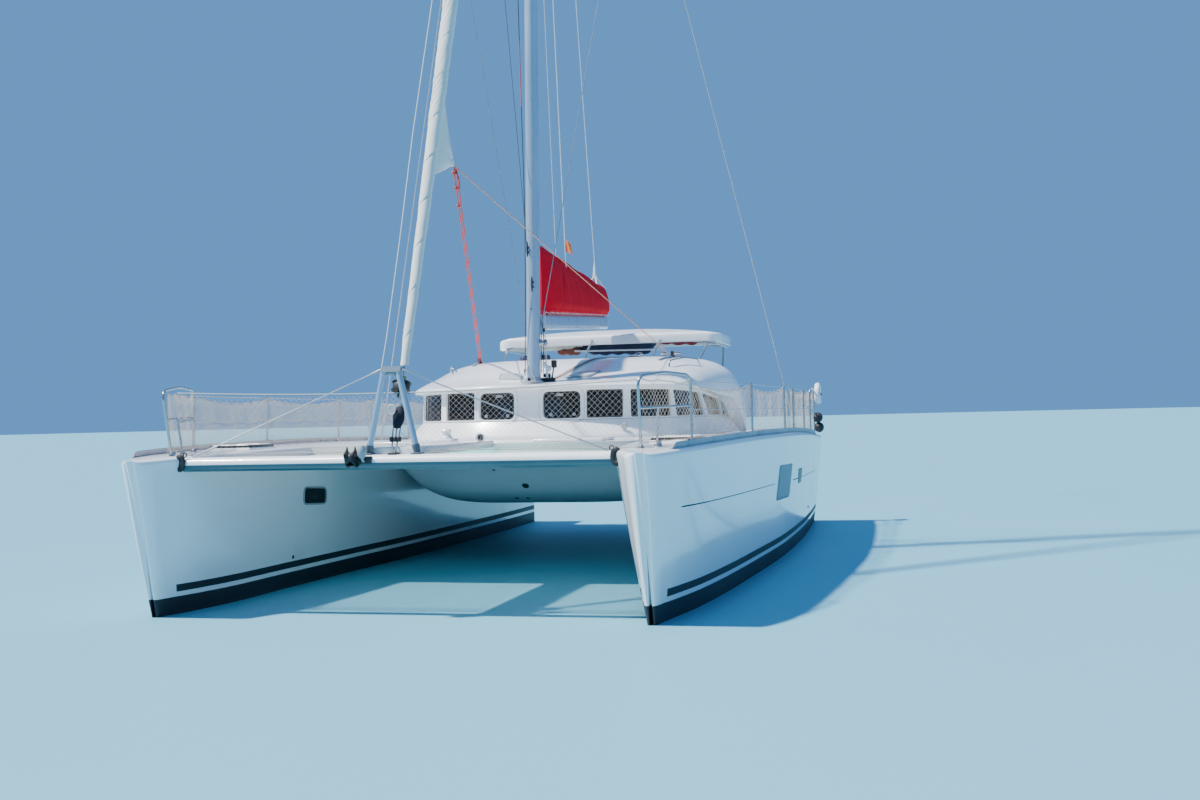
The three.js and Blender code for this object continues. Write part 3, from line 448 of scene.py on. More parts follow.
def eased(node, width, finish, segments=2):
    """Copy of a node's solid with its points merged and its edges rounded, standing for the node."""
    mesh = frame["nodes"][node].data.copy()
    whole = bmesh.new()
    whole.from_mesh(mesh)
    bmesh.ops.remove_doubles(whole, verts=whole.verts, dist=1e-5)
    bmesh.ops.dissolve_limit(whole, angle_limit=math.radians(1.5), verts=whole.verts, edges=whole.edges)
    sharp = [e for e in whole.edges if len(e.link_faces) == 2 and e.calc_face_angle(0) > math.radians(32)]
    bmesh.ops.bevel(whole, geom=sharp, offset=width, segments=segments, profile=0.5, affect="EDGES",
                    clamp_overlap=True)
    whole.to_mesh(mesh)
    whole.free()
    return piece(f"{node}_form", mesh, finish, body_of_node[node], (node,), angle=30)


def painted(finish, *nodes):
    """Gives nodes whose form is right their finish."""
    for node in nodes:
        mesh = frame["nodes"][node].data
        mesh.materials.clear()
        mesh.materials.append(finish.material)


# Finishes

class Value:
    """A number that varies over a surface: arithmetic on it adds Math nodes to its finish."""

    def __init__(self, finish, socket):
        self.finish = finish
        self.socket = socket

    def math(self, operation, *others):
        values = dict(enumerate([self, *others]))
        made = self.finish.node("ShaderNodeMath", {"operation": operation}, values)
        return Value(self.finish, made.outputs[0])

    def __add__(self, other):
        return self.math("ADD", other)

    def __sub__(self, other):
        return self.math("SUBTRACT", other)

    def __rsub__(self, other):
        return self * -1 + other

    def __mul__(self, other):
        return self.math("MULTIPLY", other)

    def __gt__(self, other):
        return self.math("GREATER_THAN", other)

    def __lt__(self, other):
        return self.math("LESS_THAN", other)

    __radd__ = __add__
    __rmul__ = __mul__

    def sine(self):
        return self.math("SINE")

    def ramp(self, low, high, start=0.0, stop=1.0):
        """Rises smoothly from start to stop as the value goes from low to high."""
        values = {"Value": self, "From Min": low, "From Max": high, "To Min": start, "To Max": stop}
        made = self.finish.node("ShaderNodeMapRange", {"interpolation_type": "SMOOTHSTEP"}, values)
        return Value(self.finish, made.outputs["Result"])


class Finish:
    """A material whose colour, gloss and relief come from nodes."""

    def __init__(self, name, color, roughness, metallic=0.0, **fixed):
        self.material = bpy.data.materials.new(name)
        self.material.use_nodes = True
        self.tree = self.material.node_tree
        self.skin = self.tree.nodes["Principled BSDF"]
        self.set(Base_Color=color, Roughness=roughness, Metallic=metallic, **fixed)

    def put(self, target, value):
        if isinstance(value, (Value, bpy.types.NodeSocket)):
            self.tree.links.new(getattr(value, "socket", value), target)
        elif isinstance(value, (tuple, list)) and target.type == "RGBA":
            target.default_value = (*value[:3], 1.0)
        else:
            target.default_value = value

    def set(self, **sockets):
        """Values or links of the surface's own sockets, an underline for each space."""
        for name, value in sockets.items():
            self.put(self.skin.inputs[name.replace("_", " ")], value)

    def node(self, kind, settings=None, values=None):
        """A node of a type, its settings set first, then its sockets' values or links."""
        made = self.tree.nodes.new(kind)
        for name, value in (settings or {}).items():
            setattr(made, name, value)
        for name, value in (values or {}).items():
            self.put(made.inputs[name], value)
        return made

    def place(self, stretch=(1.0, 1.0, 1.0)):
        """Object coordinates, stretched along the axes."""
        where = self.node("ShaderNodeTexCoord").outputs["Object"]
        if stretch == (1.0, 1.0, 1.0):
            return where
        return self.node("ShaderNodeMapping", values={"Vector": where, "Scale": stretch}).outputs[0]

    def axes(self):
        apart = self.node("ShaderNodeSeparateXYZ", values={0: self.place()})
        return [Value(self, socket) for socket in apart.outputs]

    def upward(self):
        """How far the surface faces up, from -1 to 1."""
        normal = self.node("ShaderNodeNewGeometry").outputs["Normal"]
        return Value(self, self.node("ShaderNodeSeparateXYZ", values={0: normal}).outputs[2])

    def noise(self, scale, detail, stretch=(1.0, 1.0, 1.0)):
        values = {"Vector": self.place(stretch), "Scale": scale, "Detail": detail}
        return Value(self, self.node("ShaderNodeTexNoise", values=values).outputs[0])

    def cells(self, scale):
        made = self.node("ShaderNodeTexVoronoi", values={"Vector": self.place(), "Scale": scale})
        return Value(self, made.outputs["Distance"])

    def mix(self, mask, a, b):
        """Colour a where the mask is 0 and b where it is 1."""
        return self.node("ShaderNodeMix", {"data_type": "RGBA"}, {0: mask, 6: a, 7: b}).outputs[2]

    def tint(self, mask, color):
        """Lays a colour over the surface's own where the mask is 1."""
        skin = self.skin.inputs["Base Color"]
        under = skin.links[0].from_socket if skin.links else tuple(skin.default_value)
        self.set(Base_Color=self.mix(mask, under, color))

    def bump(self, height, strength, distance):
        """Relief from a height, laid over the one that is there."""
        values = {"Height": height, "Strength": strength, "Distance": distance}
        made = self.node("ShaderNodeBump", values=values)
        before = self.skin.inputs["Normal"].links
        if before:
            self.tree.links.new(before[0].from_socket, made.inputs["Normal"])
        self.tree.links.new(made.outputs[0], self.skin.inputs["Normal"])


def shade(color, factor):
    return tuple(min(1.0, c * factor) for c in color)


white = (0.84, 0.86, 0.87)
black_paint = (0.012, 0.014, 0.02)


def gelcoat_finish(name, color=white, grip=0.0):
    """Glossy moulded white: faint clouding, fine ripple, dust in the low frequencies, and where grip is
    set a grain on what faces up."""
    finish = Finish(name, color, 0.22, Coat_Weight=0.35)
    cloud = finish.noise(1.3, 4.0).ramp(0.35, 0.7)
    speck = finish.noise(38.0, 2.0).ramp(0.5, 0.75)
    finish.tint(cloud * 0.35, shade(color, 0.93))
    finish.tint(speck * 0.06, (0.55, 0.53, 0.48))
    finish.set(Roughness=cloud * 0.12 + speck * 0.05 + 0.16)
    finish.bump(finish.noise(3.0, 2.0), 0.15, 0.004)
    if grip:
        facing = finish.upward().ramp(0.92, 0.98)
        finish.bump(finish.cells(420.0) * facing, grip, 0.0012)
    return finish


def hull_finish():
    """Hull: white topsides, black below and a black band with a white stripe between, by height; the
    upper band starts a little behind the stem."""
    finish = Finish("hull_paint", white, 0.2, Coat_Weight=0.5)
    _, y, z = finish.axes()
    cloud = finish.noise(0.9, 4.0).ramp(0.35, 0.7)
    streak = finish.noise(2.2, 5.0, (1.0, 1.0, 0.12)).ramp(0.55, 0.8)
    low = z.ramp(0.25, 0.75, 1.0, 0.0)
    topside = finish.mix(cloud * 0.3, white, shade(white, 0.94))
    topside = finish.mix(streak * low * 0.3, topside, (0.62, 0.6, 0.47))
    edge = (finish.noise(9.0, 2.0) - 0.5) * 0.004
    below = (z + edge) < stripes["antifoul_top"]
    band_low = (z + edge) > stripes["white_top"]
    band_high = (z + edge) < stripes["boot_top"]
    behind = (y + z * 0.235) > stripes["boot_start"]
    band = band_low * band_high * behind
    weed = finish.noise(14.0, 5.0).ramp(0.4, 0.75) * z.ramp(-0.1, 0.12, 1.0, 0.0)
    bottom = finish.mix(weed * 0.5, black_paint, (0.035, 0.05, 0.035))
    finish.set(Base_Color=finish.mix(below, finish.mix(band, topside, black_paint), bottom))
    dark = below + (1.0 - below) * band
    finish.set(Roughness=dark * 0.42 + cloud * 0.08 + 0.14)
    finish.set(Coat_Weight=(1.0 - dark) * 0.5)
    finish.bump(finish.noise(2.2, 2.0), 0.12, 0.006)
    finish.bump(finish.noise(60.0, 3.0) * below, 0.35, 0.0015)
    return finish


def metal_finish(name, color, roughness, metallic=0.9, grain=(1.0, 1.0, 1.0)):
    """Metal with fine scratches along its length and dull patches."""
    finish = Finish(name, color, roughness, metallic)
    scratch = finish.noise(220.0, 2.0, grain)
    dull = finish.noise(7.0, 4.0).ramp(0.45, 0.75)
    finish.tint(dull * 0.4, shade(color, 0.72))
    finish.set(Roughness=dull * 0.18 + scratch * 0.12 + (roughness - 0.06))
    finish.bump(scratch, 0.12, 0.0004)
    return finish


def spar_finish():
    """Blue-grey spar: satin coat with long faint streaks, chalky patches and scuffs near the ends."""
    color = (0.33, 0.43, 0.56)
    finish = Finish("spar_coat", color, 0.32, 0.35, Coat_Weight=0.3)
    streak = finish.noise(26.0, 4.0, (1.0, 1.0, 0.04)).ramp(0.35, 0.75)
    chalk = finish.noise(1.7, 5.0, (1.0, 1.0, 0.4)).ramp(0.45, 0.8)
    finish.tint(streak * 0.35, shade(color, 1.22))
    finish.tint(chalk * 0.3, (0.5, 0.58, 0.66))
    finish.set(Roughness=streak * 0.1 + chalk * 0.15 + 0.27)
    finish.bump(streak, 0.1, 0.0008)
    return finish


def cloth_finish(name, color, fade, weave=900.0, fuzz=0.06):
    """Woven cloth: crossed threads as fine relief, sun-bleached and soiled patches, a soft sheen."""
    finish = Finish(name, color, 0.82, Sheen_Weight=fuzz, Sheen_Roughness=0.5)
    x, y, z = finish.axes()
    thread = ((x + y) * weave).sine() * (z * weave).sine()
    bleach = finish.noise(2.4, 5.0).ramp(0.4, 0.75)
    soil = finish.noise(17.0, 4.0).ramp(0.55, 0.8)
    finish.tint(bleach * 0.5, fade)
    finish.tint(soil * 0.3, shade(color, 0.6))
    finish.set(Roughness=bleach * 0.08 + 0.78)
    finish.bump(thread, 0.25, 0.0008)
    finish.bump(finish.noise(34.0, 3.0), 0.2, 0.003)
    return finish


def rope_finish(name, color, fleck):
    """Laid rope: strands wound round it as slanted waves, with flecks of a second yarn."""
    finish = Finish(name, color, 0.85)
    x, y, z = finish.axes()
    lay = ((x * 0.7 + y + z) * 900.0).sine()
    yarn = finish.noise(160.0, 2.0).ramp(0.55, 0.65)
    finish.tint(yarn * 0.5, fleck)
    finish.bump(lay, 0.4, 0.0008)
    return finish


def plastic_finish(name, color, roughness):
    """Moulded plastic or rubber: fine grain and grey wear."""
    finish = Finish(name, color, roughness)
    wear = finish.noise(22.0, 5.0).ramp(0.5, 0.8)
    finish.tint(wear * 0.35, tuple(c * 0.6 + 0.12 for c in color))
    finish.set(Roughness=wear * 0.15 + roughness)
    finish.bump(finish.noise(400.0, 2.0), 0.2, 0.0005)
    return finish


def glass_finish(name, color, alpha):
    """Dark glass: mirror-smooth, see-through by its alpha, with a film of salt near the edges."""
    finish = Finish(name, color, 0.04, Coat_Weight=0.15)
    film = finish.noise(6.0, 5.0).ramp(0.45, 0.85)
    finish.tint(film * 0.12, (0.35, 0.37, 0.38))
    finish.set(Roughness=film * 0.1 + 0.03)
    finish.set(Alpha=film * 0.08 + alpha)
    return finish


def wood_finish():
    """Varnished wood: growth rings stretched along the grain."""
    finish = Finish("cabinet_wood", (0.36, 0.18, 0.08), 0.35, Coat_Weight=0.4)
    ring = finish.noise(14.0, 6.0, (1.0, 0.12, 1.0))
    line = (ring * 70.0).sine().ramp(-0.6, 0.9)
    finish.set(Base_Color=finish.mix(line * 0.6, (0.4, 0.21, 0.09), (0.22, 0.1, 0.045)))
    finish.bump(line, 0.1, 0.0005)
    return finish


stripes = {"antifoul_top": 0.18, "white_top": 0.228, "boot_top": 0.302, "boot_start": -5.15}

hull_paint = hull_finish()
gelcoat = gelcoat_finish("gelcoat")
deck_gelcoat = gelcoat_finish("deck_gelcoat", (0.8, 0.81, 0.8), grip=0.7)
roof_gelcoat = gelcoat_finish("roof_gelcoat", (0.86, 0.88, 0.89))
black_rubber = plastic_finish("black_rubber", (0.018, 0.018, 0.02), 0.55)
navy_plastic = plastic_finish("navy_plastic", (0.02, 0.03, 0.07), 0.5)
hatch_acrylic = plastic_finish("hatch_acrylic", (0.018, 0.022, 0.026), 0.3)
hatch_acrylic.set(Specular_IOR_Level=0.08)
window_glass = glass_finish("window_glass", (0.02, 0.014, 0.012), 0.8)
window_glass.set(Specular_IOR_Level=0.2)
hatch_grey = plastic_finish("hatch_grey", (0.46, 0.49, 0.5), 0.32)
rust_cloth = cloth_finish("rust_cloth", (0.3, 0.085, 0.045), (0.4, 0.17, 0.1))
panel_glass = plastic_finish("panel_glass", (0.1, 0.2, 0.26), 0.4)
panel_glass.set(Specular_IOR_Level=0.2)
spar_coat = spar_finish()
steel = metal_finish("polished_steel", (0.42, 0.43, 0.45), 0.2)
wire = metal_finish("stay_wire", (0.4, 0.41, 0.43), 0.35, 0.85)
shroud_wire = metal_finish("shroud_wire", (0.5, 0.5, 0.49), 0.5, 0.35)
aluminium = metal_finish("toe_rail_metal", (0.34, 0.36, 0.42), 0.45, 0.3, (1.0, 0.05, 1.0))
bronze = metal_finish("bronze", (0.5, 0.36, 0.16), 0.35)
antifoul = plastic_finish("antifoul_paint", black_paint, 0.6)
cast_grey = plastic_finish("cast_grey", (0.3, 0.33, 0.35), 0.4)
foot_grey = plastic_finish("foot_grey", (0.08, 0.1, 0.13), 0.5)
net_cord = rope_finish("net_cord", (0.55, 0.48, 0.39), (0.68, 0.61, 0.52))
front_cord = rope_finish("front_cord", (0.5, 0.47, 0.42), (0.62, 0.6, 0.55))
white_rope = rope_finish("white_rope", (0.7, 0.69, 0.65), (0.45, 0.47, 0.52))
red_rope = rope_finish("red_rope", (0.52, 0.05, 0.04), (0.75, 0.35, 0.25))
orange_rope = rope_finish("orange_rope", (0.66, 0.26, 0.15), (0.8, 0.62, 0.45))
dark_rope = rope_finish("dark_rope", (0.04, 0.045, 0.055), (0.15, 0.15, 0.16))
bag_cloth = cloth_finish("bag_cloth", (0.7, 0.003, 0.018), (0.78, 0.012, 0.03), fuzz=0.0)
bag_cloth.set(Specular_IOR_Level=0.08)
sail_cloth = cloth_finish("sail_cloth", (0.74, 0.73, 0.67), (0.62, 0.64, 0.63), 500.0, 0.02)
navy_cloth = cloth_finish("navy_cloth", (0.012, 0.02, 0.06), (0.03, 0.045, 0.1))
dark_cloth = cloth_finish("dark_cloth", (0.005, 0.007, 0.018), (0.01, 0.014, 0.028), fuzz=0.0)
cream_cloth = cloth_finish("cream_cloth", (0.62, 0.58, 0.5), (0.72, 0.7, 0.64))
wine_cloth = cloth_finish("wine_cloth", (0.22, 0.015, 0.03), (0.3, 0.05, 0.05))
orange_cloth = cloth_finish("orange_cloth", (0.75, 0.19, 0.05), (0.8, 0.35, 0.2))
seat_cloth = cloth_finish("seat_cloth", (0.3, 0.28, 0.25), (0.38, 0.35, 0.3))
cabinet_wood = wood_finish()

for slot, finishes in {
    "dark_plastic": (black_rubber, foot_grey),
    "grey_paint": (cast_grey, aluminium),
    "white_gelcoat": (gelcoat, deck_gelcoat),
    "stainless_steel": (steel,),
    "wire_steel": (wire,),
    "netting": (white_rope, red_rope, orange_rope, dark_rope, net_cord, front_cord),
    "sailcloth": (sail_cloth, orange_cloth),
    "bag_cloth": (navy_cloth, cream_cloth, wine_cloth, rust_cloth, dark_cloth, navy_plastic),
    "seat_cloth": (seat_cloth,),
    "hatch_acrylic": (panel_glass, hatch_acrylic, hatch_grey),
    "bronze": (bronze,),
}.items():
    for finish in finishes:
        finish.slot = slot


# Hulls

hull_columns = ["at", "deck_out", "deck_in", "water_out", "water_in", "bottom", "sheer"]
hull_lines = np.array([
    [0.0, 2.545, 2.435, 2.51, 2.47, -0.18, 1.55],
    [0.018, 2.69, 2.29, 2.555, 2.41, -0.26, 1.56],
    [0.045, 2.795, 2.155, 2.615, 2.335, -0.33, 1.575],
    [0.1, 2.905, 2.06, 2.725, 2.24, -0.41, 1.59],
    [0.2, 3.015, 1.985, 2.85, 2.19, -0.49, 1.605],
    [0.35, 3.14, 1.93, 2.98, 2.095, -0.54, 1.615],
    [0.5, 3.24, 1.9, 3.085, 1.99, -0.55, 1.61],
    [0.7, 3.265, 1.89, 3.13, 1.94, -0.48, 1.58],
    [0.85, 3.258, 1.89, 3.11, 1.92, -0.33, 1.535],
    [1.0, 3.227, 1.9, 3.055, 1.945, -0.12, 1.47],
])
stem_deck, stem_water = -5.775, -5.41
stern_deck, stern_water = 5.45, 5.775
gunwale = 0.05
deck_level = 1.6
blunt = 0.018


def through(at, heights, where):
    """Cubic through (at, height) pairs, its slopes those of the neighbours' chords."""
    at, heights, where = np.asarray(at), np.asarray(heights), np.asarray(where, float)
    last = len(at) - 1
    before, after = np.maximum(np.arange(last + 1) - 1, 0), np.minimum(np.arange(last + 1) + 1, last)
    slope = (heights[after] - heights[before]) / (at[after] - at[before])
    i = np.clip(np.searchsorted(at, where), 1, last)
    span = at[i] - at[i - 1]
    s = (where - at[i - 1]) / span
    return cubic(s, heights[i - 1], slope[i - 1] * span, heights[i], slope[i] * span)


def hull_line(column, at):
    """A column of the hull's lines; in the blunt stem the widths grow with the root of the distance."""
    values = hull_lines[:, hull_columns.index(column)]
    smooth = through(hull_lines[:, 0], values, at)
    if column in ("bottom", "sheer"):
        return smooth
    stem = values[0] + (values[1] - values[0]) * np.sqrt(np.clip(at, 0, blunt) / blunt)
    return np.where(np.asarray(at) < blunt, stem, smooth)


def hull_y(at, z):
    """Distance aft of a share of the length at a height: stem and stern both lean."""
    lift = np.maximum(z, 0) / 1.55
    stem = stem_water + (stem_deck - stem_water) * lift + np.maximum(-z, 0) * 1.1
    stern = stern_water + (stern_deck - stern_water) * lift
    return stem + (stern - stem) * at


def share_at(y, z):
    """Share of the hull's length at a place: hull_y the other way round."""
    stem, stern = hull_y(0.0, z), hull_y(1.0, z)
    return (np.asarray(y) - stem) / (stern - stem)


def deck_z(y):
    """Height of the sheer at a distance aft."""
    return hull_line("sheer", share_at(y, deck_level))


def topside_x(y, z, outer):
    """Distance of a port hull's side from the middle plane at a place above the waterline: a straight
    side from the deck's edge down, bulged by a sine."""
    at = share_at(y, z)
    deck = hull_line("deck_out" if outer else "deck_in", at)
    water = hull_line("water_out" if outer else "water_in", at)
    share = np.clip(1 - z / (hull_line("sheer", at) - gunwale), 0, 1)
    return deck + (water - deck) * share + (0.012 if outer else -0.012) * sin(share * pi)


def hull_side(at, outer):
    """Half a section from the deck's edge down: a quarter round, a side with a slight bulge, and a
    quarter ellipse to the bottom. Gives x and z as (station, point)."""
    at = at[:, None]
    deck = hull_line("deck_out" if outer else "deck_in", at)
    water = hull_line("water_out" if outer else "water_in", at)
    middle = (hull_line("water_out", at) + hull_line("water_in", at)) / 2
    sheer = hull_line("sheer", at)
    out = 1.0 if outer else -1.0
    edge = np.minimum(gunwale, np.abs(deck - middle) * 0.5)
    round_off = np.linspace(0, pi / 2, 7)[None, :]
    share = np.linspace(0, 1, 15)[None, 1:]
    turn = np.linspace(0, pi / 2, 10)[None, 1:-1]
    x = np.hstack([
        deck - out * edge * (1 - sin(round_off)),
        deck + (water - deck) * share + out * 0.012 * sin(share * pi),
        middle + (water - middle) * cos(turn),
    ])
    z = np.hstack([
        sheer - edge * (1 - cos(round_off)),
        (sheer - edge) * (1 - share),
        hull_line("bottom", at) * sin(turn),
    ])
    return x, z


def hull_shape():
    """Port hull: sections set along the length, closed across the deck."""
    at = np.r_[blunt * np.linspace(0, 1, 9)**2, np.linspace(blunt, 1, 96)[1:]]
    outer_x, outer_z = hull_side(at, True)
    inner_x, inner_z = hull_side(at, False)
    middle = (hull_line("water_out", at) + hull_line("water_in", at))[:, None] / 2
    x = np.hstack([outer_x, middle, inner_x[:, ::-1]])
    z = np.hstack([outer_z, hull_line("bottom", at)[:, None], inner_z[:, ::-1]])
    return solid(spots(x, hull_y(at[:, None], z), z))


treads = [(4.65, 1.19), (5.01, 0.83), (5.37, 0.47)]
steps_inner, steps_outer = 2.01, 3.12
engine_bay = {"x": (2.26, 2.86), "y": (3.5, 4.42), "floor": 0.3}
bow_well = {"x": (2.25, 2.67), "y": (-3.95, -3.43), "floor": 1.35}
rim_lift, rim_wide = 0.015, 0.038


def step_cutter():
    """What the stern's treads leave open: a stepped outline with softened inner corners."""
    outline = [(treads[0][0], 2.4)]
    for (y, z), following in zip(treads, [*treads[1:], (6.3, 0.0)]):
        outline += [(y, z), (following[0], z)]
    outline += [(6.3, 2.4)]
    closed = np.array([(0.0, y, z) for y, z in outline])
    soft = rounded(closed, 0.035, 4)[:, 1:]
    return prism(soft, steps_inner, steps_outer)


def rim_top(opening):
    """Height of a deck opening's rim: a little above the sheer beside it."""
    return float(deck_z(opening["y"]).max()) + rim_lift


def rim_frame(opening):
    """Raised frame round a deck opening: a small section carried round a rectangle."""
    (x0, x1), (y0, y1) = opening["x"], opening["y"]
    top, foot = rim_top(opening), rim_top(opening) - 0.09
    section = [(0.0, foot), (rim_wide, foot), (rim_wide, top - 0.008), (rim_wide - 0.008, top), (0.006, top),
               (0.0, top - 0.006)]
    rows = []
    for cx, cy, sx, sy in ((x0, y0, -1, -1), (x1, y0, 1, -1), (x1, y1, 1, 1), (x0, y1, -1, 1)):
        rows.append([(cx + sx * d, cy + sy * d, z) for d, z in section])
    return grid(rows, along=True).outward()


def make_hulls():
    """Both hulls with their stern steps and deck wells cut out and the wells' rims added."""
    wells = [rounded_box((w["x"][0], w["y"][0], w["floor"]), (w["x"][1], w["y"][1], 2.2), 0.02)
             for w in (engine_bay, bow_well)]
    mesh = carved(hull_shape(), [step_cutter(), *wells])
    with_shape(mesh, joined([rim_frame(engine_bay), rim_frame(bow_well)]))
    mirror = mirror_mesh(mesh)
    piece("hull_shell_port", mesh, hull_paint, stands_for=("hull_port",), angle=32)
    piece("hull_shell_starboard", mirror, hull_paint, stands_for=("hull_starboard",), angle=32)


make_hulls()


def outer_side(y, z, out):
    """Points at a distance outside the outer topside."""
    return spots(topside_x(y, z, True) + out, y, z)


def inner_side(y, z, out):
    """Points at a distance outside the topside that faces the other hull."""
    return spots(topside_x(y, z, False) - out, y, z)


# Painted shade: each row is a black line along the topside that stands for the shade of a crease in the hull.
crease_shade_lines = [{"y": (-5.207, -1.042), "z": (1.039, 1.007)}, {"y": (0.533, 4.265), "z": (0.97, 0.931)}]
flush_pane = [(-0.86, 0.79), (0.24, 0.77), (0.36, 1.2), (-0.79, 1.22)]
slim_light = [(1.19, 0.885), (1.62, 0.885), (1.68, 1.085), (1.15, 1.092)]
inner_light = [(-3.085, 0.945), (-2.545, 0.915), (-2.575, 1.105), (-3.11, 1.14)]


def hull_fittings():
    """Black line along each topside that paints the shade of a crease, the flush pane, two small lights and
    the through-hull fittings.
    """
    lines = []
    for groove in crease_shade_lines:
        y = np.linspace(*groove["y"], 60)
        z = np.linspace(*groove["z"], 60)
        size = np.interp(y - y[0], [0, 0.08, 0.9, 4.5], [0.001, 0.0085, 0.0062, 0.005])
        lines.append(tube(outer_side(y, z, -0.003), size, 6))
    piece("topside_crease_shade", both(lines), black_rubber)
    pane = soft_outline(flush_pane, 0.05)
    piece("flush_panes", both(plate_on(pane, outer_side, 0.003, 0.01)), panel_glass)
    slim, inner = soft_outline(slim_light, 0.045), soft_outline(inner_light, 0.07)
    glass = [plate_on(slim, outer_side, 0.003, 0.03), plate_on(inner, inner_side, 0.004, 0.03)]
    piece("side_lights", both(glass), hatch_acrylic)
    rims = [bead_on(inner, inner_side, 0.011, 0.002), bead_on(inner, inner_side, 0.006, 0.01)]
    piece("side_light_rims", both(rims), cast_grey)
    drains = []
    for y, z, surface in ((-3.182, 0.349, inner_side), (3.2, 0.42, outer_side)):
        turn = turns(16)
        drains.append(plate_on(spots(y + 0.022 * cos(turn), z + 0.022 * sin(turn)), surface, 0.007, 0.3))
    piece("hull_drains", both(drains), black_rubber)


hull_fittings()


def toe_rails():
    """Extruded rail along each sheer: a foot, a thin web with a rounded bead on top, and sloping ends."""
    y = np.linspace(-5.4, 4.75, 120)[:, None]
    middle = hull_line("deck_out", share_at(y, deck_level)) - 0.056
    section = np.array([
        (-0.02, 0.0004), (0.02, 0.0004), (0.02, 0.005), (0.006, 0.009), (0.005, 0.04), (0.01, 0.046),
        (0.01, 0.053), (0.006, 0.058), (-0.006, 0.058), (-0.01, 0.053), (-0.01, 0.046), (-0.005, 0.04),
        (-0.006, 0.009), (-0.02, 0.005),
    ])
    full = smooth_rise(y, -5.4, -5.3) * smooth_rise(-y, -4.75, -4.65)
    x = middle + section[:, 0]
    z = deck_z(y) + section[:, 1] * (0.15 + 0.85 * full)
    rail = solid(spots(x, y, z))
    port_and_starboard("toe_rail_form", rail, aluminium, "toe_rail", 40)


toe_rails()


# Bridgedeck and decks

tunnel_z, pan_top, pan_half = 0.72, 1.5, 2.15
pan_rise = np.array([
    (-3.0, 0.69), (-1.5, 0.65), (-1.2, 0.585), (-1.02, 0.48), (-0.86, 0.33), (-0.68, 0.19),
    (-0.42, 0.085), (-0.08, 0.02), (0.35, 0.0), (1.5, 0.0), (4.6, 0.0), (4.75, 0.09),
])


def pan_z(x, y):
    """Underside of the bridgedeck: it rises forward by a curve and to the hulls by the sixth power."""
    rise = through(pan_rise[:, 0], pan_rise[:, 1], y)
    return np.minimum(tunnel_z + rise + 0.55 * (np.abs(x) / 1.95)**6, pan_top - 0.02)


def under_pan(x, y, out):
    """Points outside the underside's steep fore part."""
    return spots(x, y - out * 0.7, pan_z(x, y) - out * 0.7)


def bridgedeck():
    """Pan between the hulls: the underside's grid closed by a flat top, less the two wells and a shelf."""
    y = np.r_[np.linspace(-3.0, 0.6, 70), np.linspace(0.6, 4.75, 22)[1:]][:, None]
    x = pan_half * sin(np.linspace(-pi / 2, pi / 2, 65))
    under = spots(x, y, pan_z(x, y))
    top = spots([pan_half, -pan_half], y, pan_top)
    body = solid(np.concatenate([under, top], 1))
    wells = [rounded_box((-1.28, -0.15, 0.8), (1.28, 2.4, 2.2), 0.03),
             rounded_box((-1.56, 2.56, 1.08), (1.56, 4.56, 2.2), 0.06)]
    shelf = rounded_box((-1.7, -0.56, 1.18), (1.7, 2.4, 2.2), 0.03)
    whole = carved(carved(body, [shelf]), wells)
    piece("bridgedeck_shell", whole, gelcoat, stands_for=("bridgedeck",), angle=35)


bridgedeck()
eased("foredeck", 0.016, deck_gelcoat)
eased("cockpit_coaming", 0.014, deck_gelcoat)
eased("cockpit_bench", 0.02, gelcoat)


# Coachroof

window_plan = [(0, -0.835), (0.7, -0.78), (1.23, -0.6), (1.56, -0.31), (1.76, 0), (1.9, 0.7),
               (2.01, 1.7), (2.06, 2.6)]
# Rows: place aft, height of the roof's edge, height of its ridge
roof_lines = np.array([
    (-0.945, 2.27, 2.292), (-0.65, 2.266, 2.318), (-0.1, 2.256, 2.395), (0.45, 2.246, 2.54),
    (1.0, 2.214, 2.665), (1.5, 2.17, 2.715), (2.05, 2.108, 2.728), (2.4, 1.96, 2.728),
    (2.7, 1.75, 2.728), (2.96, 1.6, 2.728),
])
roof_brow, roof_flare, roof_thick, roof_rim, roof_aft = 0.11, 0.129, 0.055, -0.028, 2.96
roof_middle = 2.3
sill_z, head_z, side_head_z = 1.857, 2.203, 2.25


def band_curve():
    """The window band in plan, port aft end first, at even spacing: a centripetal curve through the plan
    points, in which each span's time is the root of its length."""
    starboard = [(-x, y) for x, y in window_plan]
    plan = np.array([*window_plan[:0:-1], *starboard], float)
    plan = np.vstack([2 * plan[0] - plan[1], plan, 2 * plan[-1] - plan[-2]])
    rows = []
    for p0, p1, p2, p3 in zip(plan, plan[1:], plan[2:], plan[3:]):
        d0, d1, d2 = (math.sqrt(np.linalg.norm(b - a)) for a, b in ((p0, p1), (p1, p2), (p2, p3)))
        start = (p1 - p0) / d0 - (p2 - p0) / (d0 + d1) + (p2 - p1) / d1
        stop = (p2 - p1) / d1 - (p3 - p1) / (d1 + d2) + (p3 - p2) / d2
        s = np.linspace(0, 1, 120)[:-1, None]
        rows.append(cubic(s, p1, start * d1, p2, stop * d1))
    line = np.vstack([*rows, plan[-2:-1]])
    run = np.r_[0, np.cumsum(np.linalg.norm(np.diff(line, axis=0), axis=1))]
    even = np.linspace(0, run[-1], 1600)
    return spots(np.interp(even, run, line[:, 0]), np.interp(even, run, line[:, 1])), run[-1]


band_line, band_length = band_curve()
band_way = unit(np.gradient(band_line, axis=0))


def band(at, offset):
    """Points on the window band at shares of its length, moved outwards by an offset."""
    at = np.asarray(at, float) * (len(band_line) - 1)
    index = np.arange(len(band_line))
    x, y = (np.interp(at, index, band_line[:, k]) for k in range(2))
    wx, wy = (np.interp(at, index, band_way[:, k]) for k in range(2))
    return x - wy * offset, y + wx * offset


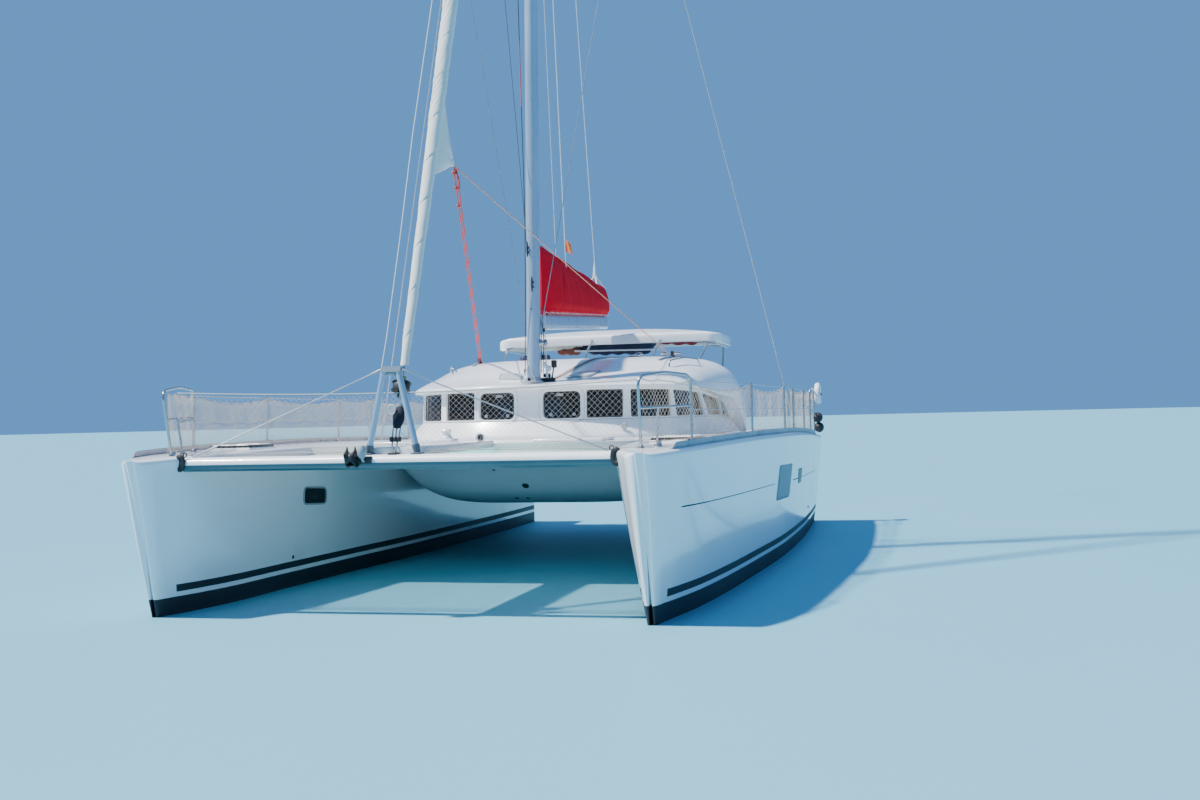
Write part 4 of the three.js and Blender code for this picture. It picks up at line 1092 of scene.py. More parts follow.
def roof_outline(offset):
    """Roof's edge in plan: the band moved out, flaring aft, and run on straight behind the roof."""
    x, y = band(np.linspace(0, 1, 150), offset)
    x = x + np.sign(x) * roof_flare * smooth_rise(y, 1.0, 2.5)
    tail = np.array([5.2, 4.2, 3.4, 3.0])
    return spots(np.r_[np.full(4, x[0]), x, np.full(4, x[-1])], np.r_[tail, y, tail[::-1]])


def roof_z(outline, x, y):
    """Height of the roof: in each cross-section a flat-topped arch from the edge to the ridge."""
    at = np.clip(y, roof_lines[0, 0], roof_lines[-1, 0])
    edge = through(roof_lines[:, 0], roof_lines[:, 1], at)
    ridge = through(roof_lines[:, 0], roof_lines[:, 2], at)
    port = outline[outline[:, 0] > 0][::-1]
    half = np.interp(y, port[:, 1], port[:, 0], left=0.0)
    share = np.where(half > 0.001, np.minimum(np.abs(x) / np.maximum(half, 0.001), 1), 1)
    aft = smooth_rise(y, 0.5, 2.4)
    arch = np.maximum(1 - share**(5 + aft), 0)**(1 / (1.65 + 1.4 * aft))
    return edge + np.maximum(ridge - edge, 0) * arch


def roof_skin(offset, lift, skirt):
    """Dome over an outline: rings shrunk towards the middle, above a rounded rim."""
    outline = roof_outline(offset)
    shares = 1 - np.linspace(0, 1, 44)[:-1]**2.2
    x = outline[None, :, 0] * shares[:, None]
    y = roof_middle + (outline[None, :, 1] - roof_middle) * shares[:, None]
    rings = spots(x, y, roof_z(outline, x, y) + lift)
    edge = rings[0].copy()
    edge[:, 2] -= lift
    rim = []
    for inward, drop in ((0.012, 1.0), (0.003, 0.8), (0.0, 0.45)):
        row = edge.copy()
        row[:, :2] -= unit(row[:, :2] - np.array([0, roof_middle])) * inward
        row[:, 2] += skirt * drop
        rim.append(row)
    return solid(np.concatenate([np.array(rim), rings]))


def coachroof():
    """Roof: the dome less a smaller dome one thickness lower, and cut off square behind."""
    aft = rounded_box((-3.5, roof_aft, 0.8), (3.5, 7.0, 4.0), 0.01)
    hollow = roof_skin(-0.07, -roof_thick, -0.8)
    whole = carved(carved(roof_skin(roof_brow, 0.0, roof_rim), [aft]), [hollow])
    piece("coachroof_shell", whole, roof_gelcoat, stands_for=("coachroof",), angle=40)


coachroof()
brow_outline = roof_outline(roof_brow)


def roof_at(x, y):
    """Height of the roof at one place."""
    return float(roof_z(brow_outline, np.array([x]), np.array([y]))[0])


# Cabin sides and windows, as shares of half the band's length from the middle of the front

windows = [
    {"head": (0.041, 0.144), "sill": (0.041, 0.144), "corner": 0.045},
    {"head": (0.161, 0.262), "sill": (0.16, 0.259), "corner": 0.018},
    {"head": (0.282, 0.417), "sill": (0.281, 0.417), "corner": 0.018},
    {"head": (0.43, 0.632), "sill": (0.442, 0.68), "corner": 0.025},
    {"head": (0.657, 0.845), "sill": (0.725, 0.897), "corner": 0.025},
    {"head": (0.875, 0.96), "sill": (0.912, 0.975), "corner": 0.025},
]
base_out, wall = 0.19, 0.04
wall_profile = [(1.6, base_out), (1.64, base_out), (1.837, 0.012), (2.4, -0.012)]


def wall_offset(z):
    """How far outside the band the wall's face lies at a height."""
    heights, outs = zip(*wall_profile)
    return np.interp(z, heights, outs)


def side_at(share, side):
    """Share of the whole band for a share of one half, counted from the middle of the front."""
    return 0.5 - side * np.asarray(share) / 2


def window_outline(row, side, grow=0.0):
    """Rounded outline of a window as band shares and heights, grown outwards by a distance."""
    half = band_length / 2
    y_head = band(side_at(np.array(row["head"]), side), 0.0)[1]
    highest = head_z if row is windows[0] else side_head_z
    edge = through(roof_lines[:, 0], roof_lines[:, 1], np.maximum(y_head, roof_lines[0, 0]))
    heads = np.minimum(highest, edge - 0.052)
    corners = np.array([
        (row["sill"][0] * half, sill_z), (row["sill"][1] * half, sill_z),
        (row["head"][1] * half, heads[1]), (row["head"][0] * half, heads[0]),
    ])
    middle = corners.mean(0)
    corners = corners + np.sign(corners - middle) * grow
    loop = np.vstack([corners[-1:], corners, corners[:1]])
    path = rounded(np.column_stack([loop, np.zeros(6)]), row["corner"] * 1.6 + grow, 5)[1:-1, :2]
    return side_at(path[:, 0] / half, side), path[:, 1]


def band_row(at, offset, z):
    """Points along the band, moved outwards by an offset, at a height."""
    return spots(*band(at, offset), z)


def window_cutter(row, side):
    """A window's outline carried through the wall."""
    at, z = window_outline(row, side)
    return solid([band_row(at, offset, z) for offset in (-0.25, 0.25)])


def on_wall(at, z, out):
    """Points a distance outside the wall's face."""
    return band_row(at, wall_offset(z) + out, z)


def along_band(aft_y, skin, drop, section):
    """Body along the band from one aft place to the other: its section gives offsets and heights, and where
    a height is None the body reaches up to a drop below the roof over the skin's offset."""
    start = np.argmin(np.abs(band_line[:400, 1] - aft_y))
    at = np.linspace(start, len(band_line) - 1 - start, 220) / (len(band_line) - 1)
    top_z = roof_z(brow_outline, *band(at, skin)) - drop
    return solid(np.stack([band_row(at, offset, top_z if z is None else z) for offset, z in section], 1))


def cabin_sides():
    """Wall along the band: outside it leans out to the deck, its top is hidden in the roof."""
    body = along_band(2.515, -0.02, 0.03, [
        (base_out, 1.6003), (base_out, 1.62), (base_out - 0.012, 1.655), (0.02, 1.825), (0.012, 1.84),
        (-0.006, None), (-0.064, None), (-wall, 1.837), (-wall, 1.6003),
    ])
    cutters = [window_cutter(row, side) for row in windows for side in (1, -1)]
    piece("cabin_wall", carved(body, cutters), gelcoat, stands_for=("cabin_sides",), angle=32)


cabin_sides()

# One curved pane inside the wall, 9 mm thick
pane = along_band(2.385, -0.06, 0.075, [(-0.0405, 1.827), (-0.0645, None), (-0.0735, None), (-0.0495, 1.827)])
piece("saloon_pane", pane, window_glass, stands_for=("saloon_glass",), angle=30)


def window_seals():
    """Rubber seal just inside each opening's edge, and a slim grey frame round the two that open."""
    seals, frames = [], []
    for row in windows:
        for side in (1, -1):
            at, z = window_outline(row, side, -0.008)
            seals.append(tube(on_wall(at, z, -0.034), 0.0075, 8, closed=True))
            if row is windows[0]:
                at, z = window_outline(row, side, 0.016)
                frames.append(tube(on_wall(at, z, 0.001), 0.008, 8, closed=True))
    piece("window_seals", seals, black_rubber)
    piece("window_frames", frames, gelcoat)


window_seals()
eased("aft_bulkhead", 0.006, gelcoat)
eased("saloon_door", 0.006, window_glass)
eased("door_track", 0.003, steel)
eased("galley", 0.012, cabinet_wood)
eased("saloon_table", 0.008, cabinet_wood)
eased("cockpit_table", 0.008, cabinet_wood)
eased("helm_console", 0.012, gelcoat)
eased("saloon_settee", 0.03, seat_cloth, 3)


# Bimini

bimini_half, bimini_y0, bimini_y1 = 1.85, 3.5, 4.85
bimini_top, bimini_camber, bimini_deep = 3.288, 0.15, 0.155


def rounded_rectangle(half, y0, y1, corner):
    """Rectangle in plan with round corners."""
    quarter = np.linspace(0, pi / 2, 9)
    rows = []
    for k, (cx, cy) in enumerate(((half, y1), (-half, y1), (-half, y0), (half, y0))):
        angle = quarter + k * pi / 2
        centre = np.array([cx - np.sign(cx) * corner, cy + (corner if cy == y0 else -corner)])
        rows.append(centre + corner * spots(cos(angle), sin(angle)))
    return np.vstack(rows)


def bimini_z(x):
    """Top of the hard bimini: cambered across by a parabola."""
    return bimini_top - bimini_camber * (x / bimini_half)**2


def spread(outline, share):
    """An outline shrunk towards the hard top's middle."""
    middle = np.array([0.0, (bimini_y0 + bimini_y1) / 2])
    return middle + (outline - middle) * share


def bimini_roof():
    """Hard top: rings from under its middle out to the rim, round the rim and back over the top."""
    def ring(inset, drop, share=1.0):
        outline = rounded_rectangle(bimini_half - inset, bimini_y0 + inset, bimini_y1 - inset, 0.24 - inset)
        flat = spread(outline, share)
        return np.column_stack([flat, bimini_z(flat[:, 0]) - drop])
    under = [ring(0.07, 0.06, share) for share in (0.02, 0.3, 0.6, 0.85, 1.0)]
    rim = [ring(0.07, 0.15), ring(0.062, 0.155), ring(0.012, 0.155), ring(0.002, 0.147), ring(0.0, 0.12),
           ring(0.0, 0.05), ring(0.004, 0.02), ring(0.016, 0.004), ring(0.032, 0.0)]
    over = [ring(0.032, 0.0, share) for share in (0.95, 0.85, 0.7, 0.5, 0.3, 0.1, 0.02)]
    body = solid(under + rim + over)
    piece("bimini_top", body, roof_gelcoat, stands_for=("bimini_roof",), angle=40)


bimini_roof()


def bimini_frame():
    """Stainless hoops that follow the camber, with the posts on the roof and the cockpit's edge."""
    pipe = 0.016
    drop = bimini_deep + pipe + 0.0006
    y0, y1 = bimini_y0 + 0.035, bimini_y1 - 0.035
    x = np.linspace(-0.95, 0.95, 30) * bimini_half
    parts = [tube(spots(x, y, bimini_z(x) - drop), pipe) for y in (y0, y1)]
    edge, top = 0.95 * bimini_half, 1.7
    flange = [(0, 0), (0.045, 0), (0.045, 0.008), (0.02, 0.012), (0, 0.012)]
    for side in (1, -1):
        x, z = side * edge, bimini_z(edge) - drop
        parts.append(rod((x, y0, z), (x, y1, z), pipe))
        parts.append(rod((side * 1.655, 4.6, 1.562), (side * top, y1, bimini_z(top) - drop), pipe))
        parts.append(turned(flange, (side * 1.655, 4.6, 1.5605)))
    flange = [(0, 0), (0.04, 0), (0.04, 0.008), (0.02, 0.014), (0, 0.014)]
    for foot in (-1.6, -0.226, 0.863, 1.6):
        base, head = roof_at(foot, 2.9), foot * 1.03
        parts.append(rod((foot, 2.9, base - 0.002), (head, y0, bimini_z(head) - drop), pipe))
        parts.append(turned(flange, (foot, 2.9, base - 0.004)))
    piece("bimini_tubes", parts, steel, stands_for=("bimini_frame",))


bimini_frame()


# Bow gear

beam_y, beam_z, beam_deep, beam_high = -5.3, 1.49, 0.075, 0.07


def beam_finish():
    """Crossbeam: white above; below its middle a dark teal that is painted shade and painted reflection of
    the water, with stains.
    """
    finish = Finish("beam_paint_and_shade", white, 0.3, Coat_Weight=0.3)
    z = finish.axes()[2]
    # Painted shade: below the beam's middle height the colour turns dark teal, for its shade and the water's
    # reflection.
    lower = z.ramp(beam_z - 0.006, beam_z + 0.002, 1.0, 0.0)
    stain = finish.noise(8.0, 4.0, (0.3, 1.0, 1.0)).ramp(0.4, 0.8)
    dark = finish.mix(stain * 0.5, (0.03, 0.095, 0.12), (0.018, 0.055, 0.075))
    finish.set(Base_Color=finish.mix(lower, finish.mix(stain * 0.2, white, (0.6, 0.6, 0.56)), dark))
    finish.set(Roughness=stain * 0.15 + 0.28)
    return finish


def crossbeam():
    """Oval beam between the hulls."""
    angle = turns(28)
    x = np.linspace(-2.21, 2.21, 12)[:, None]
    tube_body = solid(spots(x, beam_y + beam_deep * cos(angle), beam_z + beam_high * sin(angle)))
    piece("beam_tube", tube_body, beam_finish(), stands_for=("crossbeam",))
    turn = turns(32)
    cap = solid([
        spots(2.195 + wide * cos(turn), beam_y - out, beam_z + 0.02 + high * sin(turn))
        for wide, high, out in ((0.05, 0.078, 0.055), (0.056, 0.088, 0.07), (0.056, 0.088, 0.084),
                                (0.048, 0.079, 0.092), (0.03, 0.052, 0.094), (0.026, 0.046, 0.088),
                                (0.008, 0.012, 0.086))
    ])
    eye = hoop((2.15, beam_y - 0.06, beam_z + 0.098), 0.02, 0.02, 0.006, 10, 32)
    piece("beam_fittings", both([cap, eye]), black_rubber)


crossbeam()
eased("walkway", 0.012, deck_gelcoat)


def bow_roller():
    """Two dark cheeks with a grooved roller turned between them, a fairlead ball and a foot on the beam."""
    cheek = soft_outline([(-5.505, 1.57), (-5.47, 1.49), (-5.43, 1.445), (-5.372, 1.445), (-5.355, 1.545),
                          (-5.395, 1.6), (-5.425, 1.65), (-5.455, 1.605)], 0.012)
    groove = symmetric([(0.011, -0.036), (0.058, -0.036), (0.06, -0.03), (0.04, -0.006)])
    piece("bow_roller_cheeks", [
        *[prism(cheek, x - 0.004, x + 0.004) for x in (-0.402, -0.318)],
        rounded_box((-0.42, -5.385, 1.478), (-0.175, -5.352, 1.548), 0.006),
        rounded_box((-0.41, -5.44, 1.455), (-0.31, -5.36, 1.468), 0.004),
        rod((-0.415, -5.44, 1.54), (-0.305, -5.44, 1.54), 0.009, 16),
        turned(groove, (-0.36, -5.44, 1.54), axis=0, sides=32),
    ], black_rubber, stands_for=("bow_roller",))
    profile = [(0.0, -0.068), (0.026, -0.058), (0.04, -0.034), (0.044, 0.0), (0.04, 0.034), (0.026, 0.058),
               (0.0, 0.068)]
    ball = turned(profile, (-0.25, -5.425, 1.592), sides=28)
    stem = tube([(-0.25, -5.425, 1.535), (-0.252, -5.4, 1.505), (-0.252, -5.365, 1.5)], 0.014)
    piece("bow_roller_ball", [ball, stem], cast_grey)


bow_roller()


def windlass():
    """Low white housing with a rounded capstan and its pawl."""
    house = rounded_box((-0.48, -2.96, 1.6004), (-0.26, -2.72, 1.66), 0.022, 4)
    drum = turned([
        (0, 0.0), (0.07, 0.0), (0.069, 0.012), (0.052, 0.03), (0.048, 0.055), (0.056, 0.078), (0.06, 0.09),
        (0.048, 0.106), (0.02, 0.11), (0, 0.11),
    ], (-0.37, -2.84, 1.66), sides=32)
    piece("windlass_form", [house, drum], gelcoat, stands_for=("windlass",))


windlass()

striker_foot, striker_top, striker_y = 0.25, 0.068, -5.275
striker_top_z = 2.37


def striker_frame():
    """Legs over the beam's middle with a head plate, and the stays from it to the beam's ends."""
    legs, feet, stays = [], [], []
    for side in (1, -1):
        foot = np.array([side * striker_foot, striker_y, 1.561])
        top = np.array([side * striker_top, striker_y, striker_top_z])
        legs.append(tube(np.linspace(foot, top, 6), 0.031, 20))
        shoe = np.linspace(foot, foot + (top - foot) * 0.11, 5)
        feet.append(tube(shoe, [0.03, 0.033, 0.033, 0.039, 0.038], 20))
        feet.append(rounded_box(foot - [0.05, 0.05, 0.002], foot + [0.05, 0.05, 0.012], 0.005))
        top = np.array([side * 0.09, striker_y, striker_top_z])
        end = np.array([side * 2.1, beam_y, 1.562])
        way = unit(end - top)
        line = [top + way * run for run in (0, 0.05, 0.12, 0.14)]
        line += [end - way * run for run in (0.3, 0.28, 0.05, 0)]
        stays.append(tube(line, [0.01, 0.011, 0.01, 0.0062, 0.0062, 0.011, 0.01, 0.008], 10))
    plate = soft_outline([(-0.098, striker_top_z - 0.03), (0.1, striker_top_z - 0.03),
                          (0.108, striker_top_z + 0.022), (-0.085, striker_top_z + 0.025)], 0.02)
    head = prism(plate[:, ::-1], striker_y - 0.034, striker_y + 0.034, axis=1)
    bar = rounded_box((-0.045, striker_y - 0.02, striker_top_z - 0.062),
                      (0.045, striker_y + 0.02, striker_top_z - 0.03), 0.008)
    piece("striker_legs", legs, spar_coat, stands_for=("striker_frame",))
    piece("striker_head", [head, bar], cast_grey)
    piece("striker_feet", feet, foot_grey)
    piece("striker_stays", stays, wire)


striker_frame()


# Pulpits, guard rails and nets

pulpit_tip, pulpit_aft, pulpit_top = (2.4, -5.34), (2.7, -4.29), 2.225
stanchions = [(3.015, -2.08), (3.15, 0.25), (3.16, 1.35), (3.172, 2.9)]
stern_posts = [(3.15, 4.33), (3.135, 5.33)]
rail_top, rail_mid = 2.2, 1.92


def base_plate(x, y, radius=0.035):
    """Round foot on deck that rises in a cone to the tube's middle."""
    profile = [(0, 0.0004), (radius, 0.0004), (radius, 0.006), (radius * 0.55, 0.03), (0, 0.03)]
    return turned(profile, (x, y, deck_z(y)))


def pulpit():
    """Tube bent over the bow, a bar below it, a short post and the feet."""
    (tx, ty), (ax, ay) = pulpit_tip, pulpit_aft
    line = [(tx - 0.01, ty + 0.13, deck_z(ty + 0.13)), (tx, ty, pulpit_top), (2.54, -4.8, pulpit_top + 0.05),
            (ax, ay, pulpit_top + 0.03), (ax, ay, deck_z(ay))]
    return joined([
        tube(rounded(line, 0.12, 8), 0.014),
        rod((tx - 0.004, ty + 0.051, 1.94), (ax, ay, 1.96), 0.012),
        rod((2.47, -4.88, deck_z(-4.88)), (2.5, -4.92, 1.95), 0.012),
        base_plate(tx - 0.01, ty + 0.13, 0.03), base_plate(ax, ay), base_plate(2.47, -4.88, 0.03),
    ])


def guard_rail():
    """Stanchions with two wires, and the stern rail."""
    parts = []
    for x, y in stanchions:
        parts.append(tube([(x, y, deck_z(y)), (x, y, 2.0), (x, y, rail_top + 0.005)], 0.013))
        parts.append(turned([(0, 0), (0.013, 0), (0.009, 0.01), (0, 0.013)], (x, y, rail_top + 0.004)))
        parts.append(base_plate(x, y))
    stops = [pulpit_aft, *stanchions, stern_posts[0]]
    for z in (rail_top, rail_mid):
        for (x0, y0), (x1, y1) in zip(stops, stops[1:]):
            parts.append(tube(hanging((x0, y0, z), (x1, y1, z), 0.006, 8), 0.004, 8))
    (ax, ay), (bx, by) = stern_posts
    line = [(ax, ay, deck_z(ay)), (ax, ay, 2.25), (bx, by, 2.23), (bx, by, deck_z(by) - 0.02)]
    parts.append(tube(rounded(line, 0.14, 8), 0.013))
    parts += [rod((ax, ay, 1.9), (bx, by, 1.88), 0.011), base_plate(ax, ay)]
    return joined(parts)


port_and_starboard("pulpit_tubes", pulpit(), steel, "pulpit")
port_and_starboard("rail_tubes", guard_rail(), steel, "guard_rail")


def net_strands(length, height, pitch, radius, surface):
    """Diamond net on a surface of (run, rise): two families of slanting strands, cut at the net's ends."""
    first = -int(height / pitch) - 1
    starts = np.arange(first, int(length / pitch) + 1) * pitch
    rise = np.linspace(0, 1, 6)
    families = []
    for slope in (1.0, -1.0):
        begin = starts if slope > 0 else starts + height
        low = np.clip((0 - begin) * slope, 0, height)
        high = np.clip((length - begin) * slope, 0, height)
        low, high = np.minimum(low, high), np.maximum(low, high)
        keep = high - low > 0.01
        v = low[keep, None] + (high - low)[keep, None] * rise
        families.append(surface(begin[keep, None] + slope * v, v))
    return tubes(np.concatenate(families), radius, 3)


side_stops = np.array([(2.43, -5.24), (2.56, -4.8), pulpit_aft, *stanchions, *stern_posts])
side_run = np.r_[0, np.cumsum(np.linalg.norm(np.diff(side_stops, axis=0), axis=1))]


def side_net_surface(run, rise):
    """Net inside the rails: hung from the top wire at the posts, sagging between them and between its
    ties, drawn in below."""
    x = np.interp(run, side_run, side_stops[:, 0]) - 0.02
    y = np.interp(run, side_run, side_stops[:, 1])
    share = rise / side_height
    foot = deck_z(y) + 0.045
    before = np.clip(np.searchsorted(side_run, run, side="right") - 1, 0, len(side_run) - 2)
    span = (run - side_run[before]) / (side_run[before + 1] - side_run[before])
    reach = np.minimum((side_run[before + 1] - side_run[before]) / 2.2, 1.0)
    sag = 0.014 * np.abs(sin(run * pi / 0.31)) + 0.07 * reach * sin(np.clip(span, 0, 1) * pi)**0.8
    top = 2.195 + smooth_rise(-y, 4.1, 5.1) * 0.02 - sag * share
    ripple = 0.01 * sin(run * 9.0) * sin(share * pi) + 0.006 * sin(run * 23.0 + share * 5)
    return spots(x + ripple, y, foot + (top - foot) * share)


side_height = 0.6


def rope_on(surface, length, rise, radius, count=240):
    """Rope along a net's surface at one rise."""
    run = np.linspace(0, length, count)
    return tube(surface(run, np.full(count, rise)), radius, 6)


front_low, front_high = -2.36, 2.36
front_height = 0.6


def front_net_surface(run, rise):
    """Net across the bows between the pulpits, hung on a slightly slack rope over the crossbeam."""
    x = front_low + run
    share = rise / front_height
    slack = 1 - (x / front_high)**2
    top = 2.205 - 0.06 * slack
    foot = 1.585
    bow = 0.1 * slack
    y = -5.13 + bow * share * 0.4 + 0.006 * sin(run * 11.0)
    return spots(x, y, foot + (top - foot) * share)


def make_nets():
    """Side nets inside both rails, each with its own mesh, and the net across the bows."""
    length, run = side_run[-1], front_high - front_low
    hems = [rope_on(side_net_surface, length, rise, radius)
            for rise, radius in ((side_height, 0.005), (0.0, 0.004))]
    port, starboard = (joined([net_strands(length, side_height, pitch, radius, side_net_surface), *hems])
                       for pitch, radius in ((0.068, 0.0015), (0.05, 0.0025)))
    piece("side_net_port", port, net_cord, angle=180)
    piece("side_net_starboard", starboard.mirrored(), net_cord, angle=180)
    front = [
        net_strands(run, front_height, 0.058, 0.001, front_net_surface),
        rope_on(front_net_surface, run, front_height, 0.006, 80),
        rope_on(front_net_surface, run, 0.0, 0.005, 80),
    ]
    piece("front_net", front, front_cord, angle=180)


make_nets()


def trampolines():
    """Trampoline: straps lengthwise, straps laid across them, a hem round them and a laced edge."""
    pitch, strap, lace = 0.024, 0.0032, 0.0028
    x0, x1 = 0.262, 2.02
    y0, y1 = beam_y + beam_deep + 0.06, -3.03
    z = beam_z + 0.006
    xs, ys = np.arange(x0 + 0.02, x1, pitch), np.arange(y0 + 0.02, y1, pitch)

    def edge(y):
        return topside_x(y, 1.45, False) - 0.03

    share = np.linspace(0, 1, 3)
    lengthwise = spots(xs[:, None], y0 + (y1 - y0) * share, z)
    reach = np.minimum(topside_x(ys, 1.45, False), 2.3)[:, None] - 0.03 - x0
    crosswise = spots(x0 + reach * share, ys[:, None], z + 0.003)
    parts = [tubes(lengthwise, strap, 4), tubes(crosswise, strap, 4)]
    for x in np.arange(x1, 2.2, pitch):
        along = ys[edge(ys) > x]
        if len(along) > 3:
            parts.append(rod((x, along.min(), z), (x, along.max(), z), strap, 4))
    hem_y = np.linspace(y0, y1, 30)
    hem = spots(edge(hem_y), hem_y, z)
    parts.append(tube(np.vstack([[(x0, y0, z)], hem, [(x0, y1, z), (x0, y0, z)]]), 0.007, 6))
    for x in np.arange(x0 + 0.05, 2.05, 0.12):
        parts.append(rod((x, y0, z), (x + 0.03, beam_y + beam_deep - 0.01, beam_z + 0.02), lace, 4))
        parts.append(rod((x, y1, z), (x + 0.03, -2.995, z + 0.01), lace, 4))
    for y in hem_y[1:-1]:
        x = topside_x(y, 1.45, False)
        parts.append(rod((x - 0.03, y, z), (x + 0.004, y + 0.03, z), lace, 4))
    port_and_starboard("trampoline_net", joined(parts), net_cord, "trampoline", 180)


trampolines()


# Mast, boom and sail bag

mast_foot_y, mast_foot_z, mast_top_z, mast_rake = -0.562, 2.403, 16.8, 0.053
mast_long, mast_wide = 0.25, 0.165


def mast_y(z):
    """Distance aft of the mast's axis, which leans aft."""
    return mast_foot_y + mast_rake * (z - mast_foot_z)


def oval(count, square, wide, long):
    """Both coordinates of an oval that turns into a rectangle as the number square rises."""
    return [np.sign(wave) * np.abs(wave)**(2 / square) * size / 2
            for wave, size in ((cos(turns(count)), wide), (sin(turns(count)), long))]


def mast_tube():
    """Oval tube, flatter at its sides, tapering near the top."""
    z = np.r_[2.292, 2.34, 2.42, np.linspace(2.6, 13.5, 30), np.linspace(13.8, 16.5, 8), mast_top_z]
    share = np.interp(z, [2.292, 2.42, 13.5, 16.5, 16.8], [0.94, 1, 1, 0.72, 0.72])
    x, y = oval(40, 2.35, mast_wide, mast_long)
    foot = roof_at(0.0, mast_foot_y)
    z = np.maximum(z, foot + 0.0003)
    z[:2] = [foot - 0.03, foot + 0.04]
    return solid(spots(x * share[:, None], mast_y(z)[:, None] + y * share[:, None], z[:, None]))


goose_y, goose_z0, goose_z1 = -0.33, 3.02, 3.24
boom_end, boom_bottom_z, boom_slope, boom_high, boom_wide = 3.44, 3.03, 0.0625, 0.195, 0.12


def boom_bottom(y):
    """Height of the boom's underside, which rises aft."""
    return boom_bottom_z + boom_slope * (y - goose_y)


def make_mast():
    """Mast with its gooseneck lugs and pin, masthead plate, sail track and foot collar."""
    head, foot = mast_y(mast_top_z), roof_at(0.0, mast_foot_y)
    parts = [mast_tube()]
    parts += [rounded_box((-0.038, goose_y - 0.14, z - 0.008), (0.038, goose_y + 0.03, z + 0.008), 0.006)
              for z in (goose_z0, goose_z1)]
    parts.append(rod((0, goose_y, goose_z0 - 0.01), (0, goose_y, goose_z1 + 0.01), 0.0125, 16))
    parts.append(rounded_box((-0.06, head - 0.19, mast_top_z - 0.04),
                             (0.06, head + 0.22, mast_top_z + 0.02), 0.01))
    piece("mast_tube", parts, spar_coat, stands_for=("mast",))
    z = np.linspace(4.35, 16.3, 40)
    share = np.interp(z, [13.5, 16.5], [1, 0.72])
    back = mast_y(z) + mast_long / 2 * share + 0.004
    piece("sail_track", tube(spots(0.0, back, z), 0.012, 8), black_rubber)
    angle = turns(40)
    collar = solid([
        spots(cos(angle) * (mast_wide / 2 + grow), mast_y(z) + sin(angle) * (mast_long / 2 + grow), z)
        for grow, z in ((0.055, foot - 0.012), (0.055, foot + 0.012), (0.03, foot + 0.022),
                        (0.012, foot + 0.028), (0.01, foot + 0.07), (0.001, foot + 0.072))
    ])
    piece("mast_collar", collar, aluminium)


make_mast()


def boom_section(y):
    """Rounded upright rectangle."""
    x, z = oval(32, 4.5, boom_wide, boom_high)
    return spots(x, y, z + (boom_bottom(y) + boom_high / 2))


def make_boom():
    """Boom: its section carried aft, with a sleeve round the gooseneck's pin and a web to it."""
    rows = [boom_section(y) for y in np.linspace(goose_y + 0.06, boom_end, 14)]
    parts = [solid(rows)]
    low, high = goose_z0 + 0.02, goose_z1 - 0.02
    ring = [spots(r * cos(circle), goose_y + r * sin(circle), z)
            for r, z in ((0.0136, low), (0.034, low), (0.034, high), (0.0136, high))]
    parts.append(grid(np.array(ring), along=True).outward())
    parts.append(rounded_box((-0.02, goose_y + 0.02, low + 0.02), (0.02, goose_y + 0.1, high - 0.02), 0.006))
    piece("boom_tube", parts, spar_coat, "boom_body", ("boom",))


make_boom()

bag_y0, bag_y1, bag_front, bag_aft, bag_half = -0.18, 3.39, 0.93, 0.465, 0.15


def bag_point(share, turn):
    """Sail bag: an upright section that leans shut at the top, its height falling aft. Its front closes
    round the mast's lines, folds run up from the ties, and the top sags between the lines that hold it."""
    y = bag_y0 + (bag_y1 - bag_y0) * share
    low = boom_bottom(y) + boom_high + 0.002
    high = bag_front + (bag_aft - bag_front) * share
    across = np.abs(cos(turn)) ** 0.9 * np.sign(cos(turn))
    up = (sin(turn) + 1) / 2
    width = np.interp(up, [0, 0.06, 0.2, 0.45, 0.7, 0.9, 1.0], [0.6, 0.84, 0.98, 0.92, 0.74, 0.5, 0.26])
    close = 0.16 + 0.84 * sin(np.clip(share / 0.16, 0, 1) * pi / 2)
    close = close * (0.55 + 0.45 * sin(np.clip((1 - share) / 0.05, 0, 1) * pi / 2))
    top_sag = 0.018 * sin(share * pi * 3)**2 * up
    calm = np.clip(share / 0.2, 0, 1)
    fold = 0.0045 * sin(share * 31 + 1.6 * up) * (0.4 + up * (1 - up) * 2) * calm
    fold = fold + 0.0028 * sin(share * 67 + 4 * up + 1.3) * calm
    crease = -0.011 * np.exp(-((share - 0.17 - 0.06 * up) / 0.014)**2)
    crease = crease - 0.009 * np.exp(-((share - 0.7 + 0.02 * up) / 0.012)**2)
    crease = crease + 0.006 * np.exp(-((share - 0.8) / 0.02)**2) - 0.008 * np.exp(-((up - 0.1) / 0.02)**2)
    scallop = 0.022 * np.abs(sin(share * pi * 17)) * np.clip(1 - up * 7, 0, 1)
    x = np.sign(across) * np.abs(across)**0.25 * (bag_half * width * close + fold + crease)
    return spots(x, y, low + up * high - top_sag + scallop)


